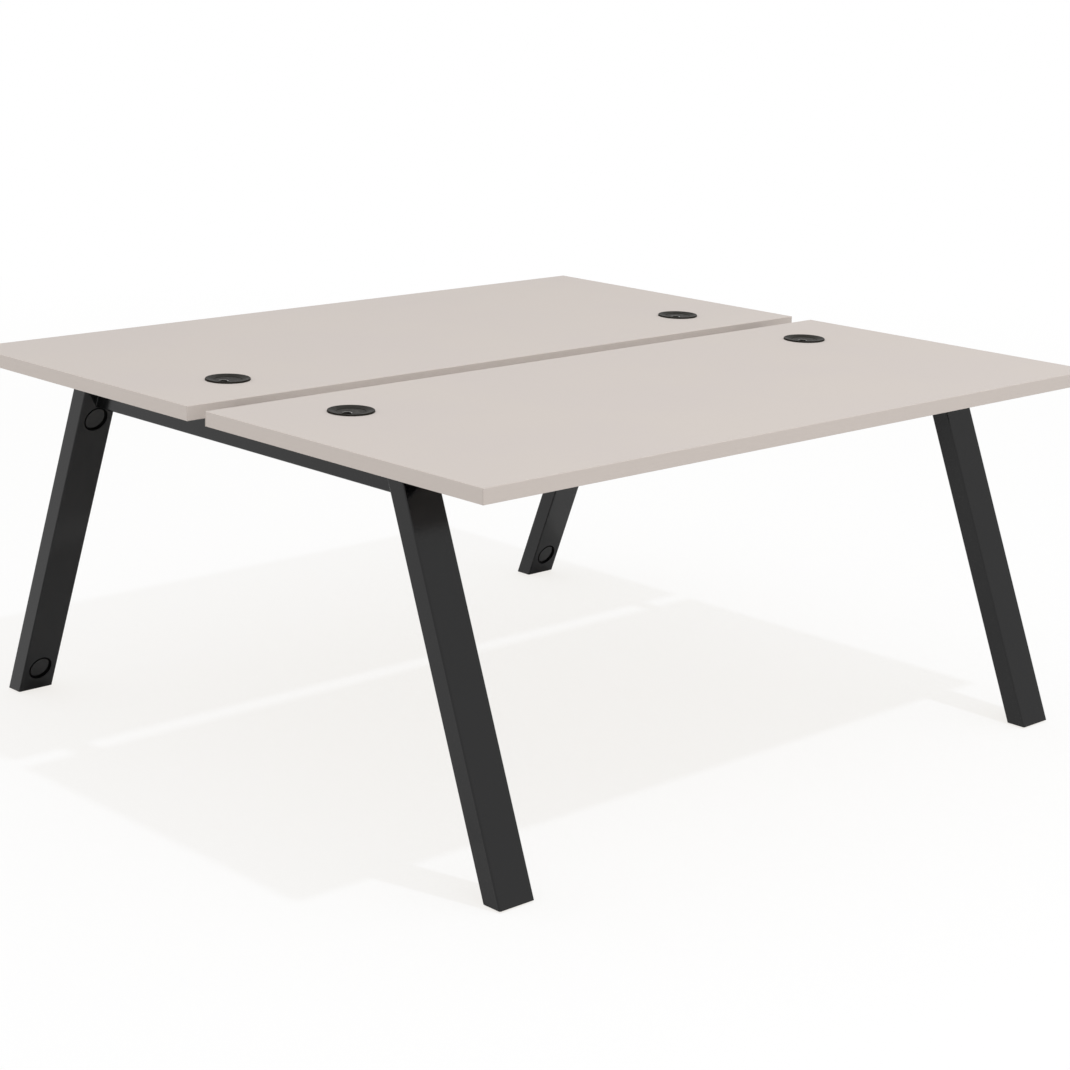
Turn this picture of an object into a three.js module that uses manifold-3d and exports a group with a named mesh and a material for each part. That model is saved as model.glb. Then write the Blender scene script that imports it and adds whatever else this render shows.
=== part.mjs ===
// Benching desk for two: a pair of worktops back to back on one frame of splayed legs.
// Millimetres. +X runs along the desk, +Y from the front user to the rear user, +Z up.
// The origin is on the floor, under the middle of the desk.
import * as THREE from "three";
import { mergeVertices } from "three/addons/utils/BufferGeometryUtils.js";
import Module from "manifold-3d";

// Air left between pieces: faces that touch, faces that are welded on a slope, and pushed-in plastic.
const TOUCH = 0.1;
const WELD_GAP = 0.3;
const PLUG_CLEARANCE = 0.4;

// Worktops: laminated boards with a glued band on each edge
const DESK_HEIGHT = 740;
const TOP_LENGTH = 1680;
const TOP_DEPTH = 750;
const TOP_THICKNESS = 28;
const TOPS_GAP = 55;
const BAND_THICKNESS = 2;
const BAND_EDGE_RADIUS = 1.2;

// Legs: flat rectangular tube, upright in the desk's length and splayed towards the users
const LEG_WIDTH = 80;
const LEG_DEPTH = 40;
const LEG_WALL = 2;
const LEG_CORNER_RADIUS = 3;
const LEG_TILT_DEGREES = 21;
const LEG_END_INSET = 65;
const LEG_FOOT_INSET = 9;
const LEG_FLOOR_GAP = 3;
const HEAD_PLATE_THICKNESS = 4;

// Access holes in the inner face of each leg, near the foot and the rail, and the plugs that close them
const ACCESS_RADIUS = 25;
const ACCESS_FOOT_MARGIN = 1.8;
const ACCESS_RAIL_MARGIN = 2.6;
const PLUG_FLANGE_WIDTH = 1.5;
const PLUG_FLANGE_HEIGHT = 0.8;
const PLUG_RIM = 2;
const PLUG_DISH_DEPTH = 3;
const PLUG_WALL = 2;
const PLUG_SKIRT_DEPTH = 10;

// Feet: a plastic insert in the end of each leg and a threaded leveller with a glide
const INSERT_HEIGHT = 23;
const GLIDE_RADIUS = 13;
const GLIDE_HEIGHT = 8;
const GLIDE_EDGE = 1.5;
const STUD_RADIUS = 4;
const STUD_LENGTH = 30;

// End rails: a tube across the desk between the two legs of an end
const RAIL_HEIGHT = 60;
const RAIL_WIDTH = 40;
const RAIL_WALL = 2;
const RAIL_CORNER_RADIUS = 3;
const RAIL_SETBACK = 33;

// Arms: T-bars that reach out from the legs under the worktops
const ARM_WEB_HEIGHT = 32;
const ARM_WEB_THICKNESS = 6;
const ARM_FLANGE_WIDTH = 40;
const ARM_FLANGE_THICKNESS = 4;
const ARM_EDGE_INSET = 77;
const ARM_NOSE_LENGTH = 60;
const ARM_NOSE_HEIGHT = 12;
const ARM_SCREW_RADIUS = 2.75;
const ARM_SCREW_OFFSET = 12;
const ARM_SCREW_INSETS = [25, 150];

// Beams: tubes along the desk, welded through end plates that bolt to the end rails
const BEAM_HEIGHT = 50;
const BEAM_WIDTH = 30;
const BEAM_WALL = 2;
const BEAM_CORNER_RADIUS = 3;
const BEAM_PLATE_THICKNESS = 5;
const BEAM_PLATE_WIDTH = 90;
const BEAM_PLATE_RADIUS = 4;
const BEAM_BOLT_RADIUS = 4.5;
const BEAM_BOLT_SPACING = 64;
const BEAM_GAP_INSET = 82.5;
const BEAM_LEG_MARGIN = 27.4;

// Cable ports: a dished ring in each hole of a worktop, and a lid that turns in it
const PORT_END_INSET = 210;
const PORT_GAP_INSET = 160;
const PORT_HOLE_RADIUS = 40;
const PORT_FLANGE_WIDTH = 4;
const PORT_RIM_HEIGHT = 3.5;
const PORT_RIM_WIDTH = 2.5;
const PORT_RIM_EDGE = 0.8;
const PORT_DISH_LIP = 0.4;
const PORT_WALL = 2;
const PORT_SLEEVE_DEPTH = 22;
const PORT_LEDGE_WIDTH = 3;
const LID_INSET = 13;
const LID_THICKNESS = 2.6;
const LID_EDGE = 0.5;
const LID_SKIRT_WALL = 1.4;
const LID_SKIRT_DEPTH = 3.4;
const LID_NOTCH_WIDTH = 15;
const LID_NOTCH_REACH = 14;
const LID_NOTCH_DEGREES = 210;
const LID_GRIP_WIDTH = 2.2;
const LID_GRIP_HEIGHT = 1.6;

// Facets
const CORNER_STEPS = 2;
const SMALL_HOLE_SIDES = 8;
const PLUG_SIDES = 20;
const GLIDE_SIDES = 12;
const PORT_SIDES = 28;

// Places that follow from the sizes above
const SIDES = { front: -1, rear: 1 };
const ENDS = { left: -1, right: 1 };
const UNDERSIDE = DESK_HEIGHT - TOP_THICKNESS;
const FRAME_TOP = UNDERSIDE - TOUCH;
const HALF_DEPTH = TOPS_GAP / 2 + TOP_DEPTH;
const LEG_TILT = THREE.MathUtils.degToRad(LEG_TILT_DEGREES);
const LEG_LEVEL_DEPTH = LEG_DEPTH / Math.cos(LEG_TILT);
const LEG_OUTER_X = TOP_LENGTH / 2 - LEG_END_INSET;
const LEG_X = LEG_OUTER_X - LEG_WIDTH / 2;
const LEG_TOP = FRAME_TOP - HEAD_PLATE_THICKNESS - WELD_GAP;
const PLUG_HALF_HEIGHT = (ACCESS_RADIUS + PLUG_FLANGE_WIDTH) * Math.cos(LEG_TILT);
const ACCESS_HEIGHTS = {
  lower: LEG_FLOOR_GAP + INSERT_HEIGHT + ACCESS_FOOT_MARGIN + PLUG_HALF_HEIGHT,
  upper: FRAME_TOP - RAIL_HEIGHT - ACCESS_RAIL_MARGIN - PLUG_HALF_HEIGHT,
};
const RAIL_X = LEG_OUTER_X - RAIL_SETBACK - RAIL_WIDTH / 2;
const RAIL_INNER_X = RAIL_X - RAIL_WIDTH / 2;
const BEAM_Z = FRAME_TOP - BEAM_HEIGHT / 2;
const BEAM_CENTRES = {
  inner: TOPS_GAP / 2 + BEAM_GAP_INSET,
  outer: legInnerReach(FRAME_TOP) - BEAM_LEG_MARGIN - BEAM_PLATE_WIDTH / 2,
};
const PORT_X = TOP_LENGTH / 2 - PORT_END_INSET;
const PORT_Y = TOPS_GAP / 2 + PORT_GAP_INSET;
const PORT_FLANGE_RADIUS = PORT_HOLE_RADIUS + PORT_FLANGE_WIDTH;
const LID_RADIUS = PORT_HOLE_RADIUS - LID_INSET;

// Finishes
const FINISHES = {
  laminate: { color: 0xd3cac4, roughness: 0.55, metalness: 0 },
  edge_band: { color: 0xc6bdb6, roughness: 0.5, metalness: 0 },
  black_paint: { color: 0x161718, roughness: 0.28, metalness: 0 },
  black_plastic: { color: 0x1d1e20, roughness: 0.4, metalness: 0 },
  zinc_steel: { color: 0x9a9c9e, roughness: 0.35, metalness: 1 },
};

const wasm = await Module();
wasm.setup();

// A closed geometry as a solid that can be joined and cut.
function solidOf(geometry) {
  const bare = geometry.clone();
  bare.deleteAttribute("normal");
  bare.deleteAttribute("uv");
  const merged = mergeVertices(bare);
  const vertProperties = merged.attributes.position.array;
  const triVerts = new Uint32Array(merged.index.array);
  return new wasm.Manifold(new wasm.Mesh({ numProp: 3, vertProperties, triVerts }));
}

// A solid as a geometry.
function geometryOf(solid) {
  const { vertProperties, triVerts } = solid.getMesh();
  const geometry = new THREE.BufferGeometry();
  geometry.setAttribute("position", new THREE.BufferAttribute(vertProperties, 3));
  geometry.setIndex(new THREE.BufferAttribute(triVerts, 1));
  geometry.computeVertexNormals();
  return geometry;
}

function cut(body, tools) {
  return tools.reduce((solid, tool) => solid.subtract(solidOf(tool)), body);
}

function piece(name, geometry, finish) {
  const mesh = new THREE.Mesh(geometry, new THREE.MeshStandardMaterial(FINISHES[finish]));
  mesh.name = name;
  return mesh;
}

// Points of a rectangle about the origin with rounded corners, anticlockwise.
function roundedRectangle(width, height, radius) {
  const points = [];
  for (let corner = 0; corner < 4; corner += 1) {
    const start = (corner * Math.PI) / 2;
    const signX = corner === 0 || corner === 3 ? 1 : -1;
    const signY = corner < 2 ? 1 : -1;
    for (let step = 0; step <= CORNER_STEPS; step += 1) {
      const angle = start + (step / CORNER_STEPS) * (Math.PI / 2);
      const x = signX * (width / 2 - radius) + radius * Math.cos(angle);
      const y = signY * (height / 2 - radius) + radius * Math.sin(angle);
      points.push(new THREE.Vector2(x, y));
    }
  }
  return points;
}

function circle(radius, sides, x = 0, y = 0) {
  const points = [];
  for (let side = 0; side < sides; side += 1) {
    const angle = (side / sides) * 2 * Math.PI;
    points.push(new THREE.Vector2(x + radius * Math.cos(angle), y + radius * Math.sin(angle)));
  }
  return points;
}

function polygon(pairs) {
  return new THREE.Shape(pairs.map(([x, y]) => new THREE.Vector2(x, y)));
}

// The wall of a rectangular tube, as an outline with a hole.
function tubeSection(width, height, radius, wall) {
  const section = new THREE.Shape(roundedRectangle(width, height, radius));
  section.holes.push(new THREE.Path(tubeBore(width, height, radius, wall)));
  return section;
}

// The inside of a rectangular tube. Its corners stay round however thick the wall is.
function tubeBore(width, height, radius, wall) {
  const boreRadius = Math.max(radius - wall, radius / 4);
  return roundedRectangle(width - 2 * wall, height - 2 * wall, boreRadius);
}

// An outline drawn flat, raised along +Z from the origin.
function raise(shape, height) {
  return new THREE.ExtrudeGeometry(shape, { depth: height, bevelEnabled: false });
}

// An outline drawn in Y and Z, as long as given, centred along X.
function alongX(shape, length) {
  const turn = new THREE.Matrix4().makeBasis(
    new THREE.Vector3(0, 1, 0),
    new THREE.Vector3(0, 0, 1),
    new THREE.Vector3(1, 0, 0),
  );
  return raise(shape, length).translate(0, 0, -length / 2).applyMatrix4(turn);
}

// An outline drawn in X and Z, as long as given, centred along Y.
function alongY(shape, length) {
  return raise(shape, length).translate(0, 0, -length / 2).rotateX(Math.PI / 2);
}

// A profile of radius and height pairs turned about +Z.
function turned(pairs, sides) {
  const points = pairs.map(([radius, height]) => new THREE.Vector2(radius, height));
  return new THREE.LatheGeometry(points, sides).rotateX(Math.PI / 2);
}

// An upright drill from one height to another.
function drill(radius, sides, low, high) {
  return raise(new THREE.Shape(circle(radius, sides)), high - low).translate(0, 0, low);
}

// A slab of all the space that the desk takes between two heights.
function level(low, high) {
  const slab = new THREE.BoxGeometry(2 * TOP_LENGTH, 4 * TOP_DEPTH, high - low);
  return solidOf(slab.translate(0, 0, (low + high) / 2));
}

// Distance from the desk's centre line to the inner face of a leg at a height.
function legInnerReach(height) {
  return HALF_DEPTH - LEG_FOOT_INSET - LEG_LEVEL_DEPTH - height * Math.tan(LEG_TILT);
}

// Distance from the desk's centre line to the outer face of a leg at a height.
function legOuterReach(height) {
  return legInnerReach(height) + LEG_LEVEL_DEPTH;
}

// A section swept along a front leg, cut level between two heights.
function legLength(shape, low, high) {
  const run = 2 * DESK_HEIGHT;
  const reach = (legInnerReach(0) + legOuterReach(0)) / 2;
  const sweep = raise(shape, 2 * run)
    .translate(0, 0, -run)
    .rotateX(-LEG_TILT)
    .translate(0, -reach, 0);
  return solidOf(sweep).intersect(level(low, high));
}

// Worktops

function board() {
  const trim = 2 * (BAND_THICKNESS + TOUCH);
  const outline = polygon([
    [(TOP_LENGTH - trim) / 2, (TOP_DEPTH - trim) / 2],
    [-(TOP_LENGTH - trim) / 2, (TOP_DEPTH - trim) / 2],
    [-(TOP_LENGTH - trim) / 2, -(TOP_DEPTH - trim) / 2],
    [(TOP_LENGTH - trim) / 2, -(TOP_DEPTH - trim) / 2],
  ]);
  for (const end of Object.values(ENDS)) {
    const hole = circle(PORT_HOLE_RADIUS, PORT_SIDES, end * PORT_X, TOP_DEPTH / 2 - PORT_GAP_INSET);
    outline.holes.push(new THREE.Path(hole));
  }
  return raise(outline, TOP_THICKNESS);
}

// A strip whose two outer edges are rounded. Its outer face looks along +X.
function edgeBand(length) {
  const points = [[-BAND_THICKNESS, 0]];
  for (const [centre, start] of [
    [BAND_EDGE_RADIUS, -Math.PI / 2],
    [TOP_THICKNESS - BAND_EDGE_RADIUS, 0],
  ]) {
    for (let step = 0; step <= CORNER_STEPS; step += 1) {
      const angle = start + (step / CORNER_STEPS) * (Math.PI / 2);
      const out = BAND_EDGE_RADIUS * (Math.cos(angle) - 1);
      points.push([out, centre + BAND_EDGE_RADIUS * Math.sin(angle)]);
    }
  }
  points.push([-BAND_THICKNESS, TOP_THICKNESS]);
  return alongY(polygon(points), length);
}

// One worktop, made as the front one: its user sits on the -Y side.
function worktop(side) {
  const group = new THREE.Group();
  group.add(piece(`worktop_${side}`, board(), "laminate"));
  const shortLength = TOP_DEPTH - 2 * (BAND_THICKNESS + TOUCH);
  const left = side === "front" ? "left" : "right";
  const right = side === "front" ? "right" : "left";
  const bands = [
    ["user", -Math.PI / 2, TOP_LENGTH, TOP_DEPTH / 2],
    ["gap", Math.PI / 2, TOP_LENGTH, TOP_DEPTH / 2],
    [left, Math.PI, shortLength, TOP_LENGTH / 2],
    [right, 0, shortLength, TOP_LENGTH / 2],
  ];
  for (const [edge, angle, length, reach] of bands) {
    const band = piece(`edge_band_${side}_${edge}`, edgeBand(length), "edge_band");
    band.rotation.z = angle;
    band.position.set(reach * Math.cos(angle), reach * Math.sin(angle), 0);
    group.add(band);
  }
  group.position.set(0, (SIDES[side] * (TOPS_GAP + TOP_DEPTH)) / 2, UNDERSIDE);
  group.rotation.z = side === "front" ? 0 : Math.PI;
  return group;
}

// Cable ports, with heights measured from the top of the worktop

function portRing() {
  const bore = LID_RADIUS + PLUG_CLEARANCE;
  const ledge = -(LID_THICKNESS + TOUCH);
  const crest = PORT_FLANGE_RADIUS - PORT_RIM_EDGE - PORT_RIM_WIDTH;
  const sleeve = PORT_HOLE_RADIUS - PLUG_CLEARANCE;
  const slope = (PORT_RIM_HEIGHT - PORT_DISH_LIP) / (crest - bore);
  const dish = (radius) => PORT_DISH_LIP + slope * (radius - bore);
  const collar = bore + PORT_WALL;
  return turned(
    [
      [sleeve, TOUCH],
      [PORT_FLANGE_RADIUS, TOUCH],
      [PORT_FLANGE_RADIUS, PORT_RIM_HEIGHT - PORT_RIM_EDGE],
      [PORT_FLANGE_RADIUS - PORT_RIM_EDGE, PORT_RIM_HEIGHT],
      [crest, PORT_RIM_HEIGHT],
      [bore, PORT_DISH_LIP],
      [bore, ledge],
      [bore - PORT_LEDGE_WIDTH, ledge],
      [bore - PORT_LEDGE_WIDTH, ledge - PORT_WALL],
      [collar, ledge - PORT_WALL],
      [collar, dish(collar) - PORT_WALL],
      [sleeve - PORT_WALL, dish(sleeve - PORT_WALL) - PORT_WALL],
      [sleeve - PORT_WALL, -PORT_SLEEVE_DEPTH],
      [sleeve, -PORT_SLEEVE_DEPTH],
      [sleeve, TOUCH],
    ],
    PORT_SIDES,
  );
}

// The lid, with its notch along +X: a finger and the cables go in there.
function portLid() {
  const skirt = LID_RADIUS - PORT_LEDGE_WIDTH;
  const disc = turned(
    [
      [0, -LID_THICKNESS],
      [skirt - LID_SKIRT_WALL, -LID_THICKNESS],
      [skirt - LID_SKIRT_WALL, -LID_THICKNESS - LID_SKIRT_DEPTH],
      [skirt, -LID_THICKNESS - LID_SKIRT_DEPTH],
      [skirt, -LID_THICKNESS],
      [LID_RADIUS, -LID_THICKNESS],
      [LID_RADIUS, -LID_EDGE],
      [LID_RADIUS - LID_EDGE, 0],
      [0, 0],
    ],
    PORT_SIDES,
  );
  const notchRadius = LID_NOTCH_WIDTH / 2;
  const notchCentre = LID_RADIUS - LID_NOTCH_REACH + notchRadius;
  const low = -LID_THICKNESS - 2 * LID_SKIRT_DEPTH;
  const high = 2 * LID_GRIP_HEIGHT;
  const grip = drill(notchRadius + LID_GRIP_WIDTH, PORT_SIDES, -LID_THICKNESS / 2, LID_GRIP_HEIGHT);
  const innerHalf = new THREE.BoxGeometry(LID_RADIUS, 2 * LID_RADIUS, 2 * LID_RADIUS);
  const lip = solidOf(grip.translate(notchCentre, 0, 0)).intersect(
    solidOf(innerHalf.translate(notchCentre - LID_RADIUS / 2, 0, 0)),
  );
  const throat = new THREE.BoxGeometry(LID_RADIUS, LID_NOTCH_WIDTH, high - low);
  return geometryOf(
    cut(solidOf(disc).add(lip), [
      drill(notchRadius, PORT_SIDES, low, high).translate(notchCentre, 0, 0),
      throat.translate(notchCentre + LID_RADIUS / 2, 0, (low + high) / 2),
    ]),
  );
}

function port(side, end) {
  const group = new THREE.Group();
  group.add(piece(`port_ring_${side}_${end}`, portRing(), "black_plastic"));
  const lid = piece(`port_lid_${side}_${end}`, portLid(), "black_plastic");
  lid.rotation.z = THREE.MathUtils.degToRad(LID_NOTCH_DEGREES);
  group.add(lid);
  group.position.set(ENDS[end] * PORT_X, SIDES[side] * PORT_Y, DESK_HEIGHT);
  return group;
}

// Legs and what they carry, made as at the front: the inner face looks towards +Y

function leg() {
  const tube = tubeSection(LEG_WIDTH, LEG_DEPTH, LEG_CORNER_RADIUS, LEG_WALL);
  const holes = Object.values(ACCESS_HEIGHTS).map((height) =>
    new THREE.CylinderGeometry(ACCESS_RADIUS, ACCESS_RADIUS, LEG_DEPTH, PLUG_SIDES)
      .rotateX(-LEG_TILT)
      .translate(0, -legInnerReach(height), height),
  );
  return geometryOf(cut(legLength(tube, LEG_FLOOR_GAP, LEG_TOP), holes));
}

function headPlate() {
  const outline = new THREE.Shape(roundedRectangle(LEG_WIDTH, LEG_DEPTH, LEG_CORNER_RADIUS));
  return geometryOf(legLength(outline, FRAME_TOP - HEAD_PLATE_THICKNESS, FRAME_TOP));
}

// The leveller stands where the middle of the leg is at half the height of its glide.
function levellerReach() {
  const height = GLIDE_HEIGHT / 2;
  return (legInnerReach(height) + legOuterReach(height)) / 2;
}

function footInsert() {
  const bore = tubeBore(LEG_WIDTH, LEG_DEPTH, LEG_CORNER_RADIUS, LEG_WALL + PLUG_CLEARANCE);
  const block = legLength(new THREE.Shape(bore), LEG_FLOOR_GAP, LEG_FLOOR_GAP + INSERT_HEIGHT);
  const recess = drill(GLIDE_RADIUS + PLUG_CLEARANCE, GLIDE_SIDES, 0, GLIDE_HEIGHT + TOUCH);
  const thread = drill(STUD_RADIUS + TOUCH, GLIDE_SIDES, 0, LEG_FLOOR_GAP + 2 * INSERT_HEIGHT);
  return geometryOf(
    cut(
      block,
      [recess, thread].map((tool) => tool.translate(0, -levellerReach(), 0)),
    ),
  );
}

function leveller() {
  return turned(
    [
      [0, 0],
      [GLIDE_RADIUS - GLIDE_EDGE, 0],
      [GLIDE_RADIUS, GLIDE_EDGE],
      [GLIDE_RADIUS, GLIDE_HEIGHT - GLIDE_EDGE],
      [GLIDE_RADIUS - GLIDE_EDGE, GLIDE_HEIGHT],
      [STUD_RADIUS, GLIDE_HEIGHT],
      [STUD_RADIUS, GLIDE_HEIGHT + STUD_LENGTH - GLIDE_EDGE],
      [STUD_RADIUS - GLIDE_EDGE, GLIDE_HEIGHT + STUD_LENGTH],
      [0, GLIDE_HEIGHT + STUD_LENGTH],
    ],
    GLIDE_SIDES,
  ).translate(0, -levellerReach(), 0);
}

// A dished plug. Its face looks along +Z and its flange lies on the leg at height zero.
function accessPlug() {
  const body = ACCESS_RADIUS - PLUG_CLEARANCE;
  const flange = ACCESS_RADIUS + PLUG_FLANGE_WIDTH;
  const dish = body - PLUG_RIM;
  const skirt = body - PLUG_WALL;
  return turned(
    [
      [0, -PLUG_DISH_DEPTH - PLUG_WALL],
      [skirt, -PLUG_DISH_DEPTH - PLUG_WALL],
      [skirt, -PLUG_SKIRT_DEPTH],
      [body - PLUG_FLANGE_HEIGHT, -PLUG_SKIRT_DEPTH],
      [body, -PLUG_SKIRT_DEPTH + PLUG_WALL],
      [body, TOUCH],
      [flange, TOUCH],
      [flange, PLUG_FLANGE_HEIGHT / 2],
      [flange - PLUG_FLANGE_HEIGHT / 2, PLUG_FLANGE_HEIGHT],
      [dish + PLUG_FLANGE_HEIGHT, PLUG_FLANGE_HEIGHT],
      [dish, -PLUG_DISH_DEPTH],
      [0, -PLUG_DISH_DEPTH],
    ],
    PLUG_SIDES,
  );
}

// A T-bar, cut to the slope of the leg at one end and tapered at the other.
function arm() {
  const flange = ARM_FLANGE_WIDTH / 2;
  const web = ARM_WEB_THICKNESS / 2;
  const low = FRAME_TOP - ARM_WEB_HEIGHT;
  const shelf = FRAME_TOP - ARM_FLANGE_THICKNESS;
  const section = polygon([
    [-flange, FRAME_TOP],
    [-flange, shelf],
    [-web, shelf],
    [-web, low],
    [web, low],
    [web, shelf],
    [flange, shelf],
    [flange, FRAME_TOP],
  ]);
  const nose = HALF_DEPTH - ARM_EDGE_INSET;
  const seat = (height) => legOuterReach(height) + WELD_GAP;
  const sideView = polygon([
    [-seat(low), low],
    [-seat(FRAME_TOP), FRAME_TOP],
    [-nose, FRAME_TOP],
    [-nose, FRAME_TOP - ARM_NOSE_HEIGHT],
    [-nose + ARM_NOSE_LENGTH, low],
  ]);
  const bar = solidOf(alongY(section, 2 * HALF_DEPTH)).intersect(
    solidOf(alongX(sideView, ARM_FLANGE_WIDTH)),
  );
  const screws = ARM_SCREW_INSETS.flatMap((inset) =>
    [-ARM_SCREW_OFFSET, ARM_SCREW_OFFSET].map((across) =>
      drill(ARM_SCREW_RADIUS, SMALL_HOLE_SIDES, shelf - TOUCH, UNDERSIDE).translate(across, inset - nose, 0),
    ),
  );
  return geometryOf(cut(bar, screws));
}

function corner(side, end) {
  const group = new THREE.Group();
  const place = `${side}_${end}`;
  group.add(
    piece(`leg_${place}`, leg(), "black_paint"),
    piece(`head_plate_${place}`, headPlate(), "black_paint"),
    piece(`arm_${place}`, arm(), "black_paint"),
    piece(`foot_insert_${place}`, footInsert(), "black_plastic"),
    piece(`leveller_${place}`, leveller(), "zinc_steel"),
  );
  for (const [spot, height] of Object.entries(ACCESS_HEIGHTS)) {
    const plug = piece(`access_plug_${spot}_${place}`, accessPlug(), "black_plastic");
    plug.rotation.x = -LEG_TILT - Math.PI / 2;
    plug.position.set(0, -legInnerReach(height), height);
    group.add(plug);
  }
  group.position.x = ENDS[end] * LEG_X;
  group.rotation.z = side === "front" ? 0 : Math.PI;
  return group;
}

// The frame across and along the desk

function endRail() {
  const low = FRAME_TOP - RAIL_HEIGHT;
  const seat = (height) => legInnerReach(height) - WELD_GAP;
  const gapBetweenLegs = polygon([
    [-seat(low), low],
    [seat(low), low],
    [seat(FRAME_TOP), FRAME_TOP],
    [-seat(FRAME_TOP), FRAME_TOP],
  ]);
  const section = tubeSection(RAIL_WIDTH, RAIL_HEIGHT, RAIL_CORNER_RADIUS, RAIL_WALL);
  const tube = alongY(section, 2 * HALF_DEPTH).translate(0, 0, FRAME_TOP - RAIL_HEIGHT / 2);
  const trimmed = solidOf(tube).intersect(solidOf(alongX(gapBetweenLegs, RAIL_WIDTH)));
  const bolts = [];
  for (const side of Object.values(SIDES)) {
    for (const centre of Object.values(BEAM_CENTRES)) {
      for (const across of [-BEAM_BOLT_SPACING / 2, BEAM_BOLT_SPACING / 2]) {
        const hole = new THREE.Shape(circle(BEAM_BOLT_RADIUS, SMALL_HOLE_SIDES));
        bolts.push(alongX(hole, RAIL_WIDTH).translate(RAIL_WIDTH / 2, side * centre + across, BEAM_Z));
      }
    }
  }
  return geometryOf(cut(trimmed, bolts));
}

function beam() {
  const length = 2 * (RAIL_INNER_X - TOUCH);
  const bar = new THREE.Shape(roundedRectangle(BEAM_WIDTH, BEAM_HEIGHT, BEAM_CORNER_RADIUS));
  const bore = tubeBore(BEAM_WIDTH, BEAM_HEIGHT, BEAM_CORNER_RADIUS, BEAM_WALL);
  const plate = new THREE.Shape(roundedRectangle(BEAM_PLATE_WIDTH, BEAM_HEIGHT, BEAM_PLATE_RADIUS));
  for (const across of [-BEAM_BOLT_SPACING / 2, BEAM_BOLT_SPACING / 2]) {
    plate.holes.push(new THREE.Path(circle(BEAM_BOLT_RADIUS, SMALL_HOLE_SIDES, across)));
  }
  const reach = (length - BEAM_PLATE_THICKNESS) / 2;
  const plates = Object.values(ENDS).map((end) =>
    solidOf(alongX(plate, BEAM_PLATE_THICKNESS).translate(end * reach, 0, 0)),
  );
  const welded = solidOf(alongX(bar, length)).add(plates[0]).add(plates[1]);
  return geometryOf(cut(welded, [alongX(new THREE.Shape(bore), 2 * length)]));
}

const desk = new THREE.Group();
for (const side of Object.keys(SIDES)) {
  desk.add(worktop(side));
  for (const end of Object.keys(ENDS)) {
    desk.add(port(side, end), corner(side, end));
  }
  for (const [line, centre] of Object.entries(BEAM_CENTRES)) {
    const tube = piece(`beam_${side}_${line}`, beam(), "black_paint");
    tube.position.set(0, SIDES[side] * centre, BEAM_Z);
    desk.add(tube);
  }
}
for (const [end, way] of Object.entries(ENDS)) {
  const rail = piece(`end_rail_${end}`, endRail(), "black_paint");
  rail.position.x = way * RAIL_X;
  rail.rotation.z = end === "right" ? Math.PI : 0;
  desk.add(rail);
}

export default desk;
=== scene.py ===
"""Looks of the benching desk for two.

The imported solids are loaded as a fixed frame. Each sub-assembly below models its visible pieces over them
with Blender's own tools, dresses them in procedural finishes and hangs them on the frame's bodies.
Sizes are in metres. +X runs along the desk, +Y from the front user to the rear user, and +Z is up.
"""

import logging
import math
from collections.abc import Callable, Iterator, Sequence
from contextlib import contextmanager
from dataclasses import dataclass, field
from enum import Enum

import bmesh
import bpy
from mathutils import Color, Matrix, Vector


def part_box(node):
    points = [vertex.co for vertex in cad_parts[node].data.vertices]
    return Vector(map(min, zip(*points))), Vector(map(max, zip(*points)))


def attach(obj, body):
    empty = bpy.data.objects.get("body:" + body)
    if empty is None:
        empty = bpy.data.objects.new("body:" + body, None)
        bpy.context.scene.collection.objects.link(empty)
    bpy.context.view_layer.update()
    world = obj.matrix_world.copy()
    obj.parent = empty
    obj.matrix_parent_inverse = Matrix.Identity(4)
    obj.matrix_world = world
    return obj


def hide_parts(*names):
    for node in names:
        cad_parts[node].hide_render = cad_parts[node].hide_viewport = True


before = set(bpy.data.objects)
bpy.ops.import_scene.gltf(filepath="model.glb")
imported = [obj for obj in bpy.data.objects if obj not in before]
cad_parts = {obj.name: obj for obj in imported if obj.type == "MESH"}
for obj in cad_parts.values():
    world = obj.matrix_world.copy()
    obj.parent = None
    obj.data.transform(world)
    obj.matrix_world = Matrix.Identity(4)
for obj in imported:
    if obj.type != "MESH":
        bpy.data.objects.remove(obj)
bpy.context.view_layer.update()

DESK = "desk"
LOG = logging.getLogger("benching_desk")

Colour = tuple[float, float, float, float]
Test = Callable[[Vector, Vector], bool]

X_AXIS = Vector((1, 0, 0))
Y_AXIS = Vector((0, 1, 0))
Z_AXIS = Vector((0, 0, 1))
HALF_TURN = math.pi
QUARTER_TURN = math.pi / 2
WHITE = (1.0, 1.0, 1.0, 1.0)
SCREEN_WHITE = 255

# Air left between pieces, as in the solids
TOUCH = 0.0001
WELD_GAP = 0.0003
PLUG_CLEARANCE = 0.0004

# Sizes that more than one sub-assembly shares
LEG_TILT = math.radians(21)
TUBE_WALL = 0.002
TUBE_RADIUS = 0.003
EDGE_STEPS = 5
ARM_FLANGE = 0.004
PLATE_THICKNESS = 0.005
PORT_HOLE_RADIUS = 0.040

# Vertices closer than this are one, faces that turn by less than this are flat, and a saw cut is this exact
SAME_PLACE = 1e-6
FLAT_ANGLE = math.radians(0.5)
SAW_CUT = 1e-7

# Unit vectors with a product beyond this lie along the same line
SAME_LINE = 0.9

# A drill, a cutter or the stock for a sawn bar is this many times as long as it need be
SPARE = 2

# How far large faces outweigh small ones in the shading, from 1 to 100
LARGE_FACES = 100


class Way(Enum):
    """One of two ways along an axis of the desk, as -1 or 1."""

    @property
    def word(self) -> str:
        """The way as the names of nodes and pieces spell it."""
        return self.name.lower()


class Side(Way):
    """The user's side of the desk, along Y."""

    FRONT = -1
    REAR = 1


class End(Way):
    """The end of the desk, along X."""

    LEFT = -1
    RIGHT = 1


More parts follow.
